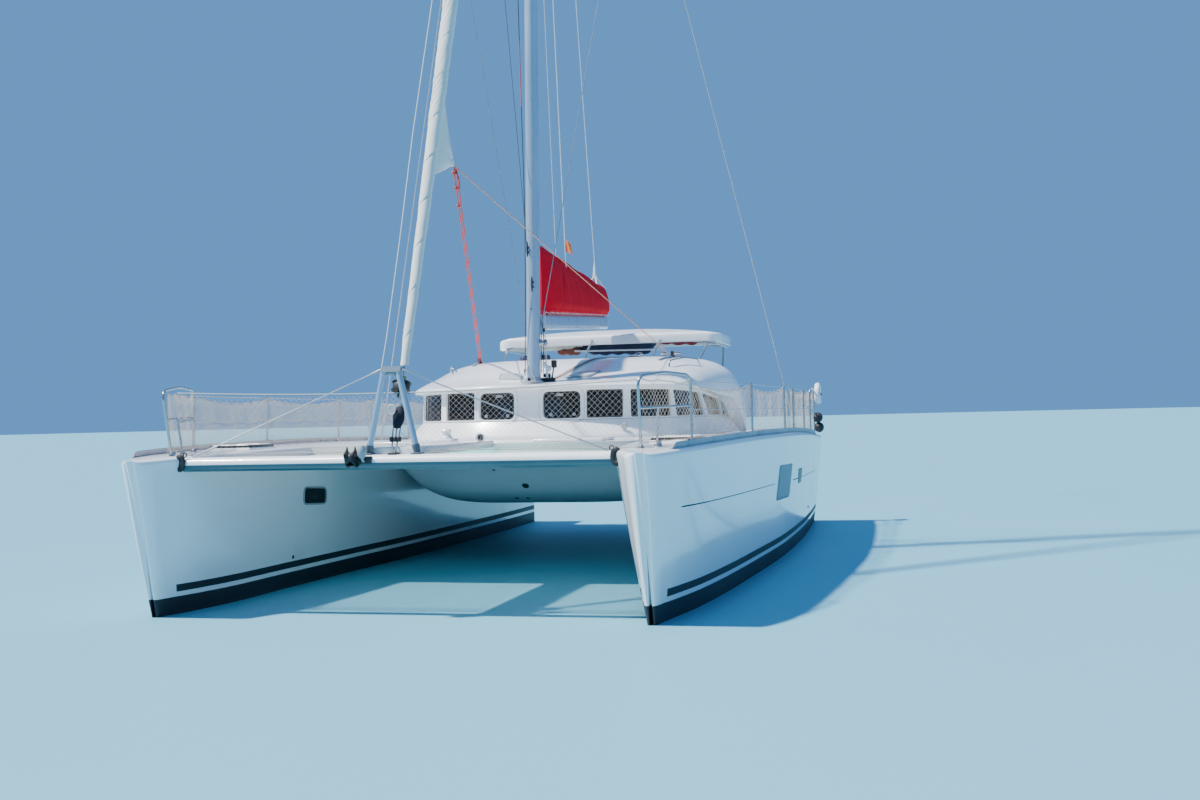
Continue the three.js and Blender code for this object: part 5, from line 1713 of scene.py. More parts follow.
def make_bag():
    """Sail bag with its zip, the lacing along its hems and the straps up to the topping lift."""
    turn = np.linspace(-pi / 2, pi * 1.5, 81)[:-1]
    body = solid(bag_point(np.linspace(0, 1, 240)[:, None], turn))
    piece("sail_bag_cloth", body, bag_cloth, "boom_body", ("sail_bag",), angle=70)
    along = np.linspace(0.03, 0.99, 120)
    lacing, straps = [], []
    for side in (1, -1):
        hem = bag_point(along, -pi / 2 + side * 0.3)
        lacing.append(tube(hem + [side * 0.004, 0, 0], 0.005, 6))
        for share in np.linspace(0.04, 0.98, 30):
            y = bag_y0 + (bag_y1 - bag_y0) * share
            top = boom_bottom(y) + boom_high
            tie = [(side * 0.052, y, top - 0.02), (side * 0.064, y + 0.02, top + 0.004),
                   (side * 0.088, y + 0.035, top + 0.03)]
            lacing.append(tube(tie, 0.0035, 5))
        for y in (2.72, 3.3):
            foot = bag_point((y - bag_y0) / (bag_y1 - bag_y0), pi / 2 - side * 0.55)
            straps.append(tube([(0.0, 2.86, 4.275 - 0.2), foot], 0.01, 6))
    straps.append(tube([(0.0, 2.86, 4.275), (0.0, 2.86, 4.19), (0.0, 2.86, 4.06)], [0.006, 0.018, 0.03], 10))
    piece("bag_lacing", lacing, white_rope, "boom_body")
    piece("bag_zip", tube(bag_point(along, pi / 2) + [0, 0, 0.004], 0.007, 8), black_rubber, "boom_body")
    piece("bag_straps", straps, white_rope, "boom_body")


make_bag()


# Headsail and stays

stay_foot_y, stay_foot_z, stay_slope = -4.892, 2.566, 0.385


def stay_y(z):
    """Distance aft of the forestay at a height."""
    return stay_foot_y + stay_slope * (z - stay_foot_z)


roll_sizes = np.array([
    (2.48, 0.038), (2.65, 0.045), (3.6, 0.054), (4.8, 0.07), (6.5, 0.08), (9.0, 0.084), (12.0, 0.068),
    (14.4, 0.046), (15.1, 0.02),
])


def headsail():
    """Rolled sail: its radius changes along the stay. Below the clew the cloth is smooth with a slanting
    edge wound round it. Above it the leech is creased into short slanting folds on the fore side, each a
    number less a power of a sine."""
    z = np.linspace(2.415, 15.1, 1150)[:, None]
    angle = turns(76)
    radius = np.interp(z[:, 0], roll_sizes[:, 0], roll_sizes[:, 1])[:, None]
    wind = np.mod(angle / (2 * pi) - z / 0.47, 1.0)
    edge = 0.05 * (wind - 0.5) - 0.1 * np.exp(-(wind / 0.03)**2)
    upper = smooth_rise(z, 4.7, 5.3)
    facing = np.exp(-((np.mod(angle - 3.9 + pi, 2 * pi) - pi) / 0.85)**2)
    phase = z * 27.0 - angle * 5.0 + 1.5 * sin(z * 3.7) + 0.9 * sin(z * 9.1 + 1.0)
    crease = 0.62 - np.abs(sin(phase))**0.7 + 0.4 * (0.62 - np.abs(sin(phase * 1.9 - angle * 1.5 + 0.7)))
    strength = 0.13 + 0.06 * sin(z * 5.1)
    soft = 0.022 * sin(z * 8.3 + angle) + 0.012 * sin(z * 19.0 - 2 * angle)
    folds = strength * crease * facing + 0.04 * (wind - 0.5)
    radius = radius * (1 + edge * (1 - upper) + upper * folds + soft)
    return solid(spots(radius * cos(angle), stay_y(z) + radius * 1.06 * sin(angle), z))


piece("headsail_roll", headsail(), sail_cloth, stands_for=("furled_genoa",), angle=60)
clew = np.array([0.0, -3.444, 4.641])


def clew_flap():
    """The sail's corner that stays out of the roll: its leech runs from the roll down to the clew and its
    foot slants back to the roll, with soft folds fanning out of the clew."""
    u = np.linspace(0, 1, 40)[:, None]
    v = np.linspace(0, 1, 44)
    root_z = 4.4 + 1.25 * v
    root = spots(0.05, stay_y(root_z) + 0.02, root_z)
    tip_z = clew[2] + 0.16 * v
    tip = spots(0.01, clew[1] - 0.03 - 0.045 * v, tip_z)
    bend = (u ** (1.0 + 0.5 * v))[..., None]
    sheet = root * (1 - bend) + tip * bend
    hollow = 0.1 * v * u * (1 - u)
    sheet[..., 1] -= hollow * 0.8
    sheet[..., 0] += 0.045 * sin(u * pi) * sin(v * pi * 1.5 + 0.4) + 0.01 * u * sin(v * 19)
    return sheet


def beside_clew(y, z, out):
    """Points beside the cloth at the clew."""
    return spots(0.012 + out, y, z)


def make_flap():
    """Closes the loose corner into a thin body and gives it its ring and patch."""
    sheet = clew_flap()
    thick = [0.0015, 0, 0]
    body = solid(np.concatenate([sheet + thick, sheet[:, ::-1] - thick], 1))
    corner = piece("clew_corner", body, sail_cloth, angle=70)
    piece("clew_ring", hoop((0.01, *clew[1:]), 0.016, 0.016, 0.005, 8, axis=0), steel)
    corners = clew[1:] + [(-0.15, -0.035), (0.01, -0.015), (0.0, 0.03), (-0.14, 0.08)]
    piece("clew_patch", plate_on(soft_outline(corners, 0.02), beside_clew, 0.006, sink=0.02), sail_cloth)


make_flap()


def furler():
    """Forestay foot with its drum: flanges with the drum between, the post above, a turnbuckle, a bag on
    the tackle below it and the tackle's three legs to the beam."""
    def along(z, x=0.0):
        return np.array([x, stay_y(z), z])

    def lathed(heights, sizes, sides):
        return tube([along(z) for z in heights], sizes, sides)

    def lump(low, high, x, wide, deep):
        half = [wide, deep, 0.0]
        return rounded_box(along(low, x) - half, along(high, x) + half, 0.012)

    core = lathed((2.165, 2.19, 2.215, 2.238), (0.074, 0.084, 0.084, 0.074), 32)
    neck = rod(along(2.1), along(2.165), 0.03, 16)
    piece("furling_drum", [core, neck], black_rubber, stands_for=("forestay_drum",))
    rims = [lathed((z, z + 0.004, z + 0.01), (0.09, 0.096, 0.09), 36) for z in (2.16, 2.236)]
    piece("drum_rims", rims, black_rubber)
    piece("drum_post", lathed((2.245, 2.25, 2.3, 2.315), (0.034, 0.04, 0.036, 0.02), 20), bronze)
    foot = [rod(along(2.3), along(2.479), 0.011, 10), lump(2.03, 2.15, 0.03, 0.024, 0.02),
            rod(along(2.0, 0.03), along(2.06, 0.03), 0.009), rod(along(2.12, 0.03), along(2.17, 0.03), 0.009)]
    piece("forestay_foot", foot, steel)
    z = np.linspace(1.8, 2.02, 26)[:, None]
    angle = turns(28)
    swell = np.clip(sin(np.clip((z - 1.8) / 0.22, 0, 1) * pi)**0.3, 0.12, 1)
    size = 0.056 * swell * (1 + 0.05 * sin(angle * 5 + z * 60))
    bag = solid(spots(0.012 + size * cos(angle), stay_y(z) + size * 0.9 * sin(angle), z))
    piece("tackle_bag", bag, dark_cloth)
    legs = [tube([along(1.83, x), along(1.71, x * 0.9), along(1.69, x * 0.8)], 0.007, 8)
            for x in (-0.03, 0.008, 0.045)]
    shackle = [(-0.02, 1.69), (-0.016, 1.64), (-0.002, 1.6), (0.014, 1.572), (0.026, 1.6), (0.03, 1.64),
               (0.026, 1.7)]
    loop = tube(smooth_path([along(z, x) for x, z in shackle], 24), 0.009, 10)
    piece("tackle_legs", [*legs, loop], wire)
    blocks = [lump(1.675, 1.725, x, 0.017, 0.016) for x in (-0.03, 0.008, 0.046)]
    eye = rounded_box((-0.035, beam_y - 0.03, 1.5585), (0.06, stay_y(1.575) + 0.03, 1.576), 0.006)
    piece("tackle_blocks", [*blocks, eye], black_rubber)
    piece("tackle_ring", hoop((-0.045, stay_y(1.93) - 0.04, 1.985), 0.035, 0.045, 0.006, 8, 28), white_rope)


furler()
hounds_z, spreader_z, spreader_x, spreader_sweep = 15.6, 9.0, 1.17, 0.24
shroud_x, shroud_y = 3.145, 1.76


def standing_wires():
    """Cap shrouds with their turnbuckles and chainplates, and the diamond stays over their spreaders."""
    head = np.array([0.073, mast_y(hounds_z), hounds_z])
    foot = np.array([shroud_x, shroud_y, 1.64])
    way = unit(head - foot)
    screw = [foot + way * run for run in (0, 0.03, 0.05, 0.2, 0.38, 0.4, 0.42)]
    plate = rounded_box((shroud_x - 0.008, shroud_y - 0.03, deck_z(shroud_y) + 0.0005),
                        (shroud_x + 0.008, shroud_y + 0.03, 1.665), 0.005)
    sizes = [0.006, 0.006, 0.013, 0.011, 0.013, 0.007, 0.006]
    cap = [tube(screw, sizes), rod(screw[-1], head, 0.0072, 10), plate]
    port_and_starboard("shroud_wire", joined(cap), shroud_wire, "cap_shroud")
    tip = np.array([spreader_x, mast_y(spreader_z) + spreader_sweep, spreader_z])
    root = np.array([0.06, mast_y(spreader_z) + 0.01, spreader_z])
    stays = [
        tube(np.linspace(root, tip, 6), [0.036, 0.034, 0.032, 0.03, 0.027, 0.024], 16),
        turned([(0, -0.03), (0.02, -0.026), (0.034, 0), (0.02, 0.026), (0, 0.03)], tip),
        *[rod((x, mast_y(z), z), tip, 0.005, 8) for x, z in ((0.075, 2.9), (0.06, 15.2))],
    ]
    port_and_starboard("spreader", joined(stays), wire, "diamond_stay")
    head_tang = rod((0, stay_y(15.0), 15.0), (0, mast_y(hounds_z) - 0.12, hounds_z), 0.008, 10)
    piece("forestay_tang", head_tang, wire, stands_for=("forestay_head",))


standing_wires()

# Running rigging, fittings and gear

car = np.array([1.45, 1.5, 2.668])


def on_roof(x, y, out):
    """Points at a distance above the roof."""
    x, y = np.asarray(x, float), np.asarray(y, float)
    return spots(x, y, roof_z(brow_outline, x, y) + out)


def ropes(name, finish, rows, body="boat"):
    """Taut lines, each row a radius with the points that the line passes."""
    whole = joined([tube(path, radius, 8) for radius, path in rows])
    return piece(name, whole, finish, body)


def knot(at, size, radius):
    """Trefoil knot: a line wound three times round its own middle."""
    t = turns(48)
    line = spots(sin(t) + 2 * sin(2 * t), cos(t) - 2 * cos(2 * t), -sin(3 * t)) / 3
    return tube(np.asarray(at, float) + size * line, radius, 8, closed=True)


def block(at, size):
    """Sheave block: two cheeks with the sheave between."""
    cheek = [(0, -0.5), (0.9, -0.5), (1.0, -0.42), (1.0, -0.3), (0.9, -0.25), (0, -0.25)]
    sheave = [(0, -0.24), (0.85, -0.2), (0.7, 0), (0.85, 0.2), (0, 0.24)]
    whole = joined([turned(profile, (0, 0, 0), 0) for profile in (cheek, symmetric(cheek)[6:], sheave)])
    return Shape(whole.points * size + at, whole.quads, whole.triangles)


def winch(at, axis=2, size=1.0):
    """Self-tailing winch: flared foot, waisted drum, the tailing jaws and a socketed cap."""
    profile = [
        (0, 0.0), (0.062, 0.0), (0.062, 0.01), (0.046, 0.022), (0.038, 0.045), (0.04, 0.072), (0.05, 0.08),
        (0.052, 0.086), (0.04, 0.091), (0.052, 0.097), (0.05, 0.106), (0.02, 0.112), (0.018, 0.108),
        (0, 0.108),
    ]
    return turned([(r * size, h * size) for r, h in profile], at, axis, 32)


def cleat(at):
    """Horn cleat: a bar that swells to its middle, on two feet."""
    line = ((-0.1, 0.04), (-0.06, 0.046), (0, 0.044), (0.06, 0.046), (0.1, 0.04))
    horn = tube([(0, y, z) for y, z in line], [0.006, 0.011, 0.013, 0.011, 0.006], 10)
    foot = [(0, -0.002), (0.018, -0.002), (0.01, 0.02), (0.011, 0.044), (0, 0.044)]
    return joined([horn, *[turned(foot, (0, y, 0)) for y in (-0.03, 0.03)]]).moved(*at)


def headsail_lines():
    """The headsail's two sheets with their knots, and a spare halyard along the forestay."""
    tail = clew + [0.0, 0.02, -0.04]
    starboard = car * [-1, 1, 1]
    bight = [clew, clew + [0.02, 0.09, -0.1], clew + [0.03, 0.1, -0.24], clew + [-0.02, 0.16, -0.26]]
    ropes("sheet_starboard", red_rope, [
        (0.0085, [tail, starboard + [0.0, 0.0, 0.03]]),
        (0.0085, [tail + [0.02, 0.03, 0.0], starboard + [0.03, 0.0, 0.03]]),
        (0.008, smooth_path(bight, 20)),
    ])
    knots = [([0.0, 0.01, -0.04], 0.03, 0.0085), ([-0.09, 0.31, -0.15], 0.022, 0.008),
             ([-0.19, 0.65, -0.29], 0.018, 0.008)]
    piece("sheet_knots", [knot(tail + at, size, radius) for at, size, radius in knots], red_rope)
    ropes("sheet_port", orange_rope, [(0.006, [clew + [0.01, 0.02, -0.01], car + [0.0, 0.0, 0.03]])])
    ropes("spare_halyard", white_rope, [(0.0046, [
        (-0.169, -5.236, 1.984), (-0.192, -5.078, 2.342), (-0.179, -4.942, 2.697), (-0.18, -4.548, 3.72),
        (-0.194, -4.106, 4.868), (-0.177, -3.499, 6.443), (-0.06, mast_y(15.1) - 0.13, 15.1),
    ])])
    hook = [(-0.169, -5.236, 1.984), (-0.155, -5.24, 1.955), (-0.165, -5.246, 1.925), (-0.182, -5.244, 1.95),
            (-0.169, -5.236, 1.984)]
    piece("halyard_hook", tube(smooth_path(hook, 24), 0.005, 8), steel)


headsail_lines()


def mast_lines():
    """Halyards beside the mast, the lines that hold the sail bag, and their pennant."""
    ropes("halyards_dark", dark_rope, [
        (0.0062, [(-0.085, -0.665, 2.5), (-0.06, -0.665, 3.42), (-0.042, -0.67, 4.5), (-0.046, -0.7, 5.9)]),
        (0.0062, [(-0.05, -0.712, 6.75), (-0.052, -0.72, 7.28), (-0.07, mast_y(15.2) - 0.14, 15.2)]),
        (0.004, [(-0.065, -0.66, 4.698), (-0.526, -0.105, 8.97)]),
        (0.004, [(-0.065, -0.66, 4.698), (-0.03, -0.655, 4.1)]),
        *[(0.0052, [(x, -0.395, 3.3), (x + 0.012, -0.385, 2.9), (x + 0.004, -0.4, 2.46)])
          for x in (0.052, 0.078)],
        (0.005, [(0.0, -0.655, 3.283), (0.055, -0.6, 3.285), (0.094, -0.46, 3.287), (0.098, -0.385, 3.29)]),
    ])
    ropes("halyard_red", red_rope, [(0.0064, [(-0.046, -0.7, 5.9), (-0.05, -0.712, 6.75)])])
    ropes("halyards_white", white_rope, [
        *[(0.0046, [(x, -0.385, 3.26), (x - 0.006, -0.39, 2.8), (x + 0.02, -0.4, 2.46)])
          for x in (0.104, 0.122)],
        (0.006, [(-0.035, -0.672, 2.58), (-0.075, -0.7, 2.44), (-0.1, -0.73, 2.345)]),
        (0.006, [(-0.03, -0.672, 2.58), (0.015, -0.69, 2.44), (0.06, -0.7, 2.35)]),
    ])
    jack_top, lift_top = mast_y(12.5) + 0.13, mast_y(16.0) + 0.12
    boom_lines = [
        ("sail_bag_lines", 12.5, 4.0, [(0.0068, (0.07, 0.9, 3.98), (0.06, jack_top, 12.5)),
                                       (0.004, (-0.07, 0.9, 3.98), (-0.06, jack_top, 12.5))]),
        ("topping_lift", 16.0, 5.0, [(0.0058, (0.0, 2.86, 4.275), (0.05, lift_top, 16.0))]),
    ]
    for name, top_z, reach, rows in boom_lines:
        rows = [(radius, np.linspace(low, high, 60)) for radius, low, high in rows]
        lines = ropes(name, white_rope, rows, None)
        top_y = float(mast_y(top_z))
        top_z - reach
        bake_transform(lines)
    u, v = np.linspace(0, 1, 14)[:, None], np.linspace(0, 1, 14)[None, :]
    wave = 0.012 * sin(u * 6.0 + v * 2.0)
    flag = spots(0.076 + 0.11 * u * (1 - 0.35 * v), 0.872 - 0.012 * u + wave, 4.2 + 0.17 * v - 0.05 * u)
    cloth = solid(np.concatenate([flag + [0, 0.0008, 0], flag[:, ::-1] - [0, 0.0008, 0]], 1))
    pennant = piece("pennant", cloth, orange_cloth, "boom_body", angle=60)


mast_lines()


def mast_gear():
    """Winch, cleats, blocks and turning gear about the mast's foot, and the small vent ahead of it."""
    piece("mast_winch", winch((0.08, -0.52, 2.845), 0, 0.85), steel)
    blocks = (((0.09, -0.425, 2.666), 0.034), ((0.1, -0.4, 3.02), 0.026), ((0.157, -0.4, 2.425), 0.032),
              ((0.095, -0.385, 2.425), 0.03), ((-0.027, -0.7, 2.37), 0.026))
    dark = [
        *[block(at, size) for at, size in blocks],
        rounded_box((0.04, -0.455, 2.345), (0.235, -0.345, 2.392), 0.01),
        rounded_box((0.205, -0.47, 2.52), (0.275, -0.41, 2.62), 0.015),
        rod((0.2, -0.4, 2.39), (0.235, -0.44, 2.54), 0.01),
        tube([(-0.085, -0.668, 2.52), (-0.087, -0.668, 2.49), (-0.088, -0.668, 2.44), (-0.088, -0.668, 2.42)],
             [0.006, 0.013, 0.012, 0.006]),
    ]
    horn = cleat((0, 0, 0))
    x, y, z = horn.points.T
    upright = Shape(spots(x, -z, y), horn.quads, horn.triangles)
    dark += [upright.moved(x, mast_y(z) - 0.122, z) for x, z in ((-0.028, 4.06), (0.03, 3.6))]
    piece("mast_blocks", dark, black_rubber)
    sheave = symmetric([(0, -0.018), (0.034, -0.018), (0.04, -0.008)])
    foot_blocks = [turned(sheave, at, 0) for at in ((0.115, -0.45, 2.56), (0.168, -0.43, 2.515))]
    foot_blocks.append(rounded_box((0.13, -0.46, 2.39), (0.16, -0.42, 2.55), 0.008))
    piece("mast_foot_blocks", foot_blocks, gelcoat)
    x, y = -0.02, -0.76
    vent = turned([(0, -0.01), (0.056, -0.01), (0.058, 0.006), (0.05, 0.012), (0.044, 0.006), (0.03, 0.02),
                   (0, 0.026)], (x, y, roof_at(x, y)), sides=32)
    piece("roof_vent", vent, cast_grey)
    lead = {white_rope: [], orange_rope: [], dark_rope: []}
    for k, finish in enumerate((white_rope, orange_rope, dark_rope, white_rope)):
        x = np.linspace(0.1 + 0.025 * k, 0.62 + 0.045 * k, 30)
        over = on_roof(x, np.linspace(-0.36, 2.46, 30), 0.009)
        over[0] = (0.098 + 0.02 * k, -0.4, 2.44)
        lead[finish].append(tube(over, 0.0055, 6))
    for n, (finish, lines) in enumerate(lead.items()):
        piece(f"roof_lines_{n + 1}", lines, finish)
    side = on_roof(np.linspace(-0.14, -1.4, 26), np.linspace(-0.62, 2.9, 26), 0.007)
    ropes("roof_line_starboard", dark_rope, [(0.0042, side)])


mast_gear()


def roof_fittings():
    """Hatches in the roof's front, grab rails, the headsail's tracks and cars, clutches and winches."""
    hatch = np.array([(-0.64, -0.11), (-0.268, -0.181), (-0.369, 0.151), (-0.721, 0.224)])
    middle = hatch.mean(0)
    pane = soft_outline(middle + (hatch - middle) * 0.86, 0.05)
    piece("roof_hatch_frames", both(plate_on(soft_outline(hatch, 0.05), on_roof, 0.02, 0.05)), cast_grey)
    piece("roof_hatches", both(plate_on(pane, on_roof, 0.027, 0.03, sink=-0.01)), hatch_grey)
    rail = [on_roof(*spot) for spot in ((1.559, 0.643, -0.003), (1.565, 0.66, 0.085), (1.7, 1.05, 0.085),
                                        (1.85, 1.345, 0.075), (1.854, 1.357, -0.003))]
    piece("roof_grab_rails", both(tube(rounded(rail, 0.07, 8), 0.011)), steel)
    y = np.linspace(0.95, 1.95, 24)
    section = np.array([(-0.016, -0.002), (0.016, -0.002), (0.016, 0.012), (0.009, 0.014), (0.012, 0.024),
                        (-0.012, 0.024), (-0.009, 0.014), (-0.016, 0.012)])
    base = on_roof(np.interp(y, [0.95, 1.95], [1.36, 1.53]), y, 0.0)
    track = solid(base[:, None] + spots(section[:, 0], 0.0, section[:, 1]))
    piece("sheet_tracks", both(track), aluminium)
    spot = on_roof(car[0], car[1], 0.0)
    slide = rounded_box(spot + [-0.028, -0.06, 0.008], spot + [0.028, 0.06, 0.036], 0.008)
    piece("sheet_cars", both([slide, block(spot + [0, 0, 0.066], 0.034)]), black_rubber)
    feet = [on_roof(0.62 + 0.045 * k, 2.5, 0.0) for k in range(4)]
    for name, finish, low, high, edge in (
        ("rope_clutches", black_rubber, [-0.019, -0.07, -0.004], [0.019, 0.07, 0.042], 0.008),
        ("clutch_levers", gelcoat, [-0.012, -0.075, 0.043], [0.012, 0.045, 0.055], 0.005),
    ):
        piece(name, [rounded_box(foot + low, foot + high, edge) for foot in feet], finish)
    seats = [on_roof(x, y, -0.004) for x, y in ((0.7, 2.76), (1.08, 2.76), (1.3, 2.72))]
    piece("roof_winches", [winch(seat) for seat in seats], steel)
    cover = [(0, 0.0), (0.074, 0.0), (0.078, 0.02), (0.07, 0.1), (0.056, 0.125), (0, 0.135)]
    piece("winch_covers", [turned(cover, on_roof(x, 2.78, -0.004)) for x in (-0.8, -1.15)], navy_plastic)


roof_fittings()


def cabin_fittings():
    """Handles and latches of the opening panes, a thin grey line round them as painted shade of a recess, a
    grey bead under the sills as painted shade of the step there, and the lights, cowl and drains ahead of the
    cabin."""
    grey, dark = [], []
    knob = [(0, -0.022), (0.016, -0.022), (0.021, -0.014), (0.021, -0.004), (0.012, 0.004), (0, 0.004)]
    for side in (1, -1):
        grey += [turned(knob, on_wall(side_at(share, side), 1.907, -0.03), 1) for share in (0.062, 0.126)]
        spot = on_wall(side_at(0.087, side), 2.16, -0.03)
        grey.append(rounded_box(spot + [-0.045, -0.014, -0.016], spot + [0.045, 0.004, 0.016], 0.006))
        bar = side_at(np.linspace(0.048, 0.12, 14), side)
        dark.append(tube(on_wall(bar, 2.178, -0.026), 0.006, 8))
        # Painted shade: a thin grey line a little outside the opening panes stands for the shade in a recess
        # round them.
        at, z = window_outline(windows[0], side, 0.052)
        grey.append(tube(on_wall(at, z, -0.0005), 0.003, 6, closed=True))
    # Painted shade: a grey bead along the wall just under the windows stands for the shade of the step below
    # the sills.
    grey.append(tube(on_wall(np.linspace(0.03, 0.97, 200), 1.838, 0.001), 0.006, 8))
    piece("pane_handles_and_shade_lines", grey, cast_grey)
    piece("pane_bars", dark, black_rubber)
    light = [(0, -0.018), (0.034, -0.018), (0.042, -0.008), (0.044, 0.012), (0, 0.012)]
    piece("deck_light", turned(light, (1.235, -0.775, 1.744), 1), cast_grey)
    cowl = [(0, 0.05), (0.026, 0.046), (0.04, 0.028), (0.044, 0.0), (0.05, -0.036), (0.052, -0.044),
            (0.045, -0.044), (0.034, -0.01), (0, 0.004)]
    stem = [(0, 0), (0.046, 0), (0.046, 0.008), (0.034, 0.014), (0.032, 0.05), (0, 0.05)]
    mouth = [(0, -0.01), (0.035, -0.013), (0.035, -0.004), (0, 0.0)]
    vent_at = (0.09, -2.98, 1.668)
    piece("cowl_vent", [turned(cowl, vent_at, 1), turned(stem, (0.09, -2.96, 1.6004))], gelcoat)
    drains = [turned(mouth, vent_at, 1)]
    for x, y, size in ((-0.073, -0.808, 0.046), (-0.289, -0.496, 0.03), (-0.141, -0.491, 0.03),
                       (-0.411, -1.052, 0.018)):
        rim = spots(x + size * cos(circle), y + size * 0.8 * sin(circle))
        drains.append(plate_on(rim, under_pan, 0.006))
    piece("drains", drains, black_rubber)
    horns = [cleat((x, y, deck_z(y) + 0.001)) for x, y in ((2.52, -4.98), (3.02, -0.55), (2.96, 4.45))]
    piece("deck_cleats", both(horns), steel)


cabin_fittings()


def hammock(low, top, y0, depth, ripple, seed):
    """Side curtain gathered up under the hard top: across the boat it hangs in a belly whose lowest line
    follows the given heights, its section a loop that is open at the top."""
    x = np.linspace(low[0][0], low[-1][0], 60)[:, None]
    turn = np.linspace(0, pi, 26)
    lowest = np.interp(x, *np.asarray(low, float).T)
    deep = top - lowest
    y = y0 + depth / 2 * (1 - cos(turn)) + 0.01 * sin(x * 17 + seed)
    z = top - deep * sin(turn) ** 0.8 + ripple * sin(x * 29 + turn * 3 + seed) * sin(turn)
    belly = spots(x, y, z)
    inner = belly + spots(0.0, 0.004 * cos(turn), 0.004)
    return solid(np.concatenate([belly, inner[:, ::-1]], 1))


def rolled_flag():
    """Rolled cloth at the hard top's tube: a round section that swells between its ties and sags."""
    line = hanging((-0.86, 3.66, 2.955), (-0.46, 3.68, 2.935), 0.01, 60)
    share = np.linspace(0, 1, 60)[:, None]
    angle = turns(24)
    size = 0.055 * (1 + 0.2 * (np.abs(sin(share * pi * 2 + 0.4)) - 0.5))
    size = size * np.clip(np.minimum(share, 1 - share) * 14, 0.05, 1)**0.5
    size = size * (1 + 0.07 * sin(angle * 3 + share * 21 + 0.4) + 0.04 * sin(angle * 7 - share * 47))
    way = unit(line[-1] - line[0])
    across = unit(np.cross(way, [0.0, 0.0, 1.0]) + 1e-9)
    over = np.cross(across, way)
    circle_of = cos(angle)[:, None] * across + sin(angle)[:, None] * over
    return solid(line[:, None] + size[..., None] * circle_of)


def cockpit_gear():
    """Curtains gathered under the hard top, a pole among them, and the buoys at the stern."""
    curtains = [
        ("curtain_cream", cream_cloth, [(-1.08, 2.98), (-0.75, 2.95), (-0.42, 3.02)], (3.135, 3.56, 0.17),
         (0.68, 0.46)),
        ("curtain_navy", navy_cloth,
         [(-0.72, 3.06), (-0.45, 2.93), (-0.2, 2.865), (0.66, 2.865), (0.82, 3.1)], (3.15, 3.66, 0.2),
         (1.56, 0.62)),
        ("curtain_wine", wine_cloth, [(0.8, 3.02), (1.1, 2.985), (1.4, 2.975), (1.62, 3.02)],
         (3.115, 3.58, 0.15), (0.84, 0.33)),
    ]
    for k, (name, finish, low, place, flat) in enumerate(curtains):
        cloth = piece(name, hammock(low, *place, 0.012, k * 2.1), finish, angle=60)
    piece("boat_hook", rod((-0.55, 3.6, 2.935), (0.98, 3.6, 2.915), 0.013), gelcoat)
    piece("rolled_flag", rolled_flag(), rust_cloth, angle=60)
    u = np.linspace(-0.95, 1.05, 60) * pi
    ring = spots(3.205, 5.3 + 0.125 * sin(u * 0.84), 2.155 + 0.145 * cos(u * 0.84))
    size = 0.05 * np.clip(np.minimum(u - u[0], u[-1] - u) * 6, 0.3, 1)**0.5
    piece("horseshoe_buoy", tube(ring, size, 20), gelcoat)
    straps = [hoop((3.205, y, 2.155), 0.053, 0.053, 0.006, 6) for y in (5.425, 5.175)]
    ball = [(0.082 * sin(t), -0.086 * cos(t)) for t in np.linspace(0, pi, 13)]
    balls = [turned(ball, at, 2, 28) for at in ((3.21, 5.36, 1.6), (3.195, 5.33, 1.765))]
    piece("stern_buoy", [*balls, *straps], black_rubber)
    ropes("buoy_lines", white_rope, [(0.005, [(3.21, 5.36, 1.76), (3.175, 5.345, 1.95), (3.15, 5.33, 2.1)])])


cockpit_gear()


def pad_form(low, high):
    """One pad as rings of one outline, and its seam's line. Between its corners each side of the outline
    pulls in by 0.014 (1 - a^2) with a running from -1 to 1 along that side, the side bulges by the rings'
    scale s, and over the top z rises by 0.026 (1 - s^2) with wrinkles that run in from the corners."""
    middle, half = (low + high) / 2, (high - low) / 2
    edge = filled(soft_outline(corners_of(low, high), 0.05)) - middle[:2]
    across = edge / half[:2]
    edge = edge * (1 - 0.014 / half[:2] * (1 - across[:, ::-1]**2))
    side = np.array([(0.02, 0), (0.6, 0), (0.93, 0), (0.965, 0.006), (0.985, 0.02), (0.997, 0.045),
                     (0.985, 0.066), (0.965, 0.078), (0.93, 0.086)])
    over = np.linspace(0.88, 0.02, 16)
    scale = np.r_[side[:, 0], over][:, None]
    level = np.r_[side[:, 1], np.full(len(over), 0.088)][:, None]
    corner = (across[:, 0] * across[:, 1])**2
    turn = np.arctan2(edge[:, 1], edge[:, 0])
    crown = 0.026 * (1 - scale**2) + 0.0022 * corner * scale**2 * sin(turn * 22)
    rise = level + crown * (np.arange(len(scale))[:, None] >= len(side))
    points = spots(middle[0] + edge[:, 0] * scale, middle[1] + edge[:, 1] * scale, low[2] + rise)
    seam = np.column_stack([middle[:2] + edge * 1.002, np.full(len(edge), low[2] + 0.06)])
    return solid(points), seam


def cushions():
    """Seat and back pads of the saloon's settee and the cockpit's bench: crowned tops, rounded sides and a
    piped seam round each."""
    places = [("settee", 2, (-0.18, 1.18), (-0.125, 0.33), 1.2505, seat_cloth),
              ("bench", 4, (-1.54, 1.54), (4.06, 4.52), 1.4305, cream_cloth)]
    for name, count, (x0, x1), (y0, y1), floor_z, finish in places:
        width = (x1 - x0) / count
        for k in range(count):
            low = np.array([x0 + k * width + 0.008, y0, floor_z])
            high = np.array([x0 + (k + 1) * width - 0.008, y1, floor_z + 0.095])
            form, seam = pad_form(low, high)
            pad = piece(f"{name}_pad_{k + 1}", form, finish, angle=70)
            piece(f"{name}_piping_{k + 1}", tube(seam, 0.005, 6, closed=True), finish)


cushions()


def hatch_rim(node, side):
    """Moulded rim on a bow hatch, a little inside the lid's edge, that lifts with it."""
    low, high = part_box(node)
    inset = Vector((0.024, 0.024, 0))
    line = filled(soft_outline(corners_of(low + inset, high - inset), 0.03), 80)
    rim = tube(spots(line[:, 0], line[:, 1], high[2] - 0.002), 0.013, 10, closed=True)
    piece(f"bow_hatch_rim_{side}", rim, deck_gelcoat, body_of_node[node])


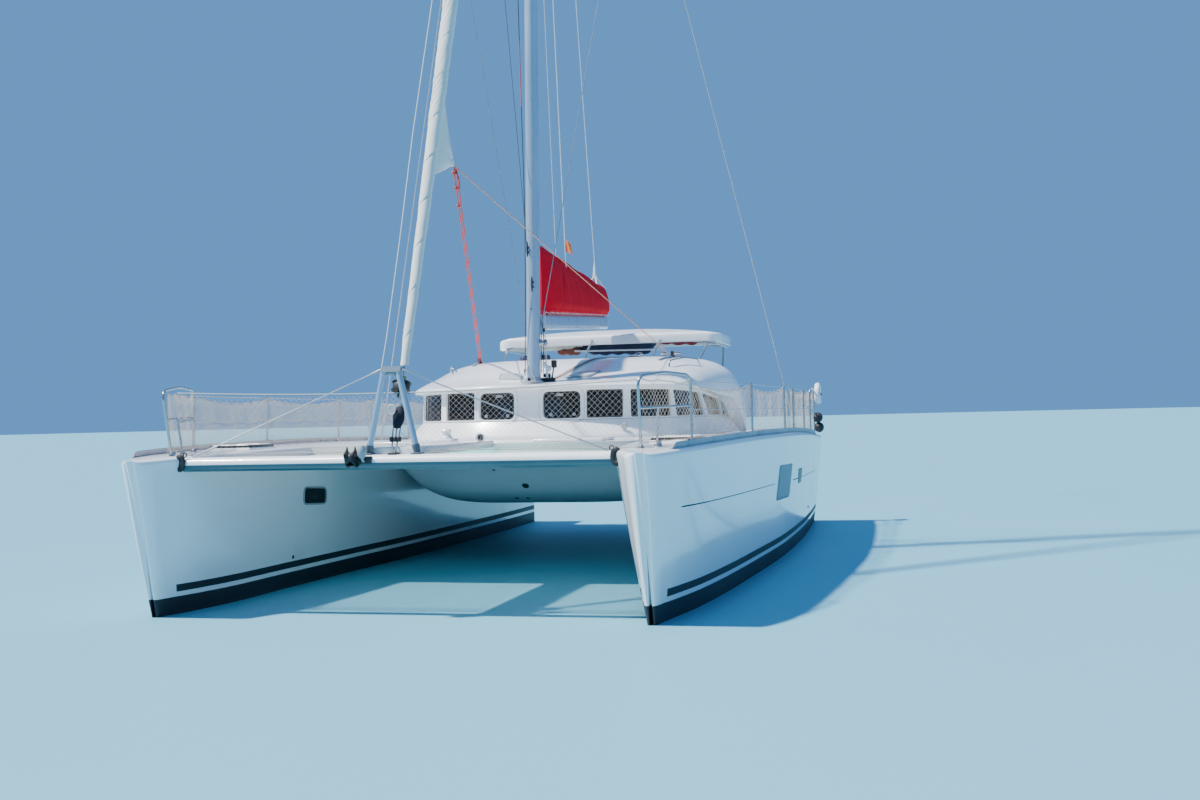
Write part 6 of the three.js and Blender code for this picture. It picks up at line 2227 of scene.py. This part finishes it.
painted(steel, "helm_wheel")
for side in ("port", "starboard"):
    painted(antifoul, f"keel_{side}", f"rudder_{side}")
    painted(cast_grey, f"drive_leg_{side}", f"engine_{side}")
    painted(bronze, f"propeller_{side}")
    eased(f"engine_hatch_{side}", 0.01, deck_gelcoat)
    eased(f"bow_hatch_{side}", 0.008, hatch_acrylic)
    hatch_rim(f"bow_hatch_{side}", side)
    eased(f"locker_lid_{side}", 0.01, deck_gelcoat)


# Floor and light

def floor_finish():
    finish = Finish("pale_floor", (0.16, 0.43, 0.56), 0.5)
    finish.set(Roughness=finish.noise(0.3, 2.0) * 0.1 + 0.42)
    return finish


def make_stage():
    """Floor: flat rings about the origin, each about three times as wide as the last."""
    angle = turns(96)
    radius = np.array([0.01, 6.0, 20.0, 60.0, 180.0, 500.0])[:, None]
    points = spots(radius * cos(angle), radius * sin(angle), 0.0)
    mesh = mesh_of("floor", grid(points))
    mesh.materials.append(floor_finish().material)
    placed("floor", mesh)


def lamp(name, kind, aim, **settings):
    """Light that shines along a direction."""
    data = bpy.data.lights.new(name, kind)
    for setting, value in settings.items():
        setattr(data, setting, value)
    thing = placed(name, data)
    thing.rotation_mode = "QUATERNION"
    thing.rotation_quaternion = Vector(aim).to_track_quat("-Z", "Y")
    return thing


def make_light():
    """Soft key light from high on the starboard side, a soft fill low between the hulls and a pale sky."""
    lamp("key", "SUN", (0.5, 0.2, -0.84), energy=9.5, angle=math.radians(2.5), color=(1.0, 0.97, 0.92))
    fill = lamp("fill", "AREA", (0.0, 0.45, 0.89), shape="RECTANGLE", size=2.6, size_y=1.0, energy=26.0,
                color=(0.42, 1.0, 0.92), spread=math.radians(70))
    fill.location = (0.0, -3.9, 0.1)
    fill.visible_camera = False
    fill.visible_glossy = False
    world = bpy.data.worlds.new("sky")
    world.use_nodes = True
    sky = world.node_tree.nodes["Background"]
    sky.inputs["Color"].default_value = (0.16, 0.46, 1.0, 1.0)
    sky.inputs["Strength"].default_value = 0.74
    bpy.context.scene.world = world


make_stage()
make_light()
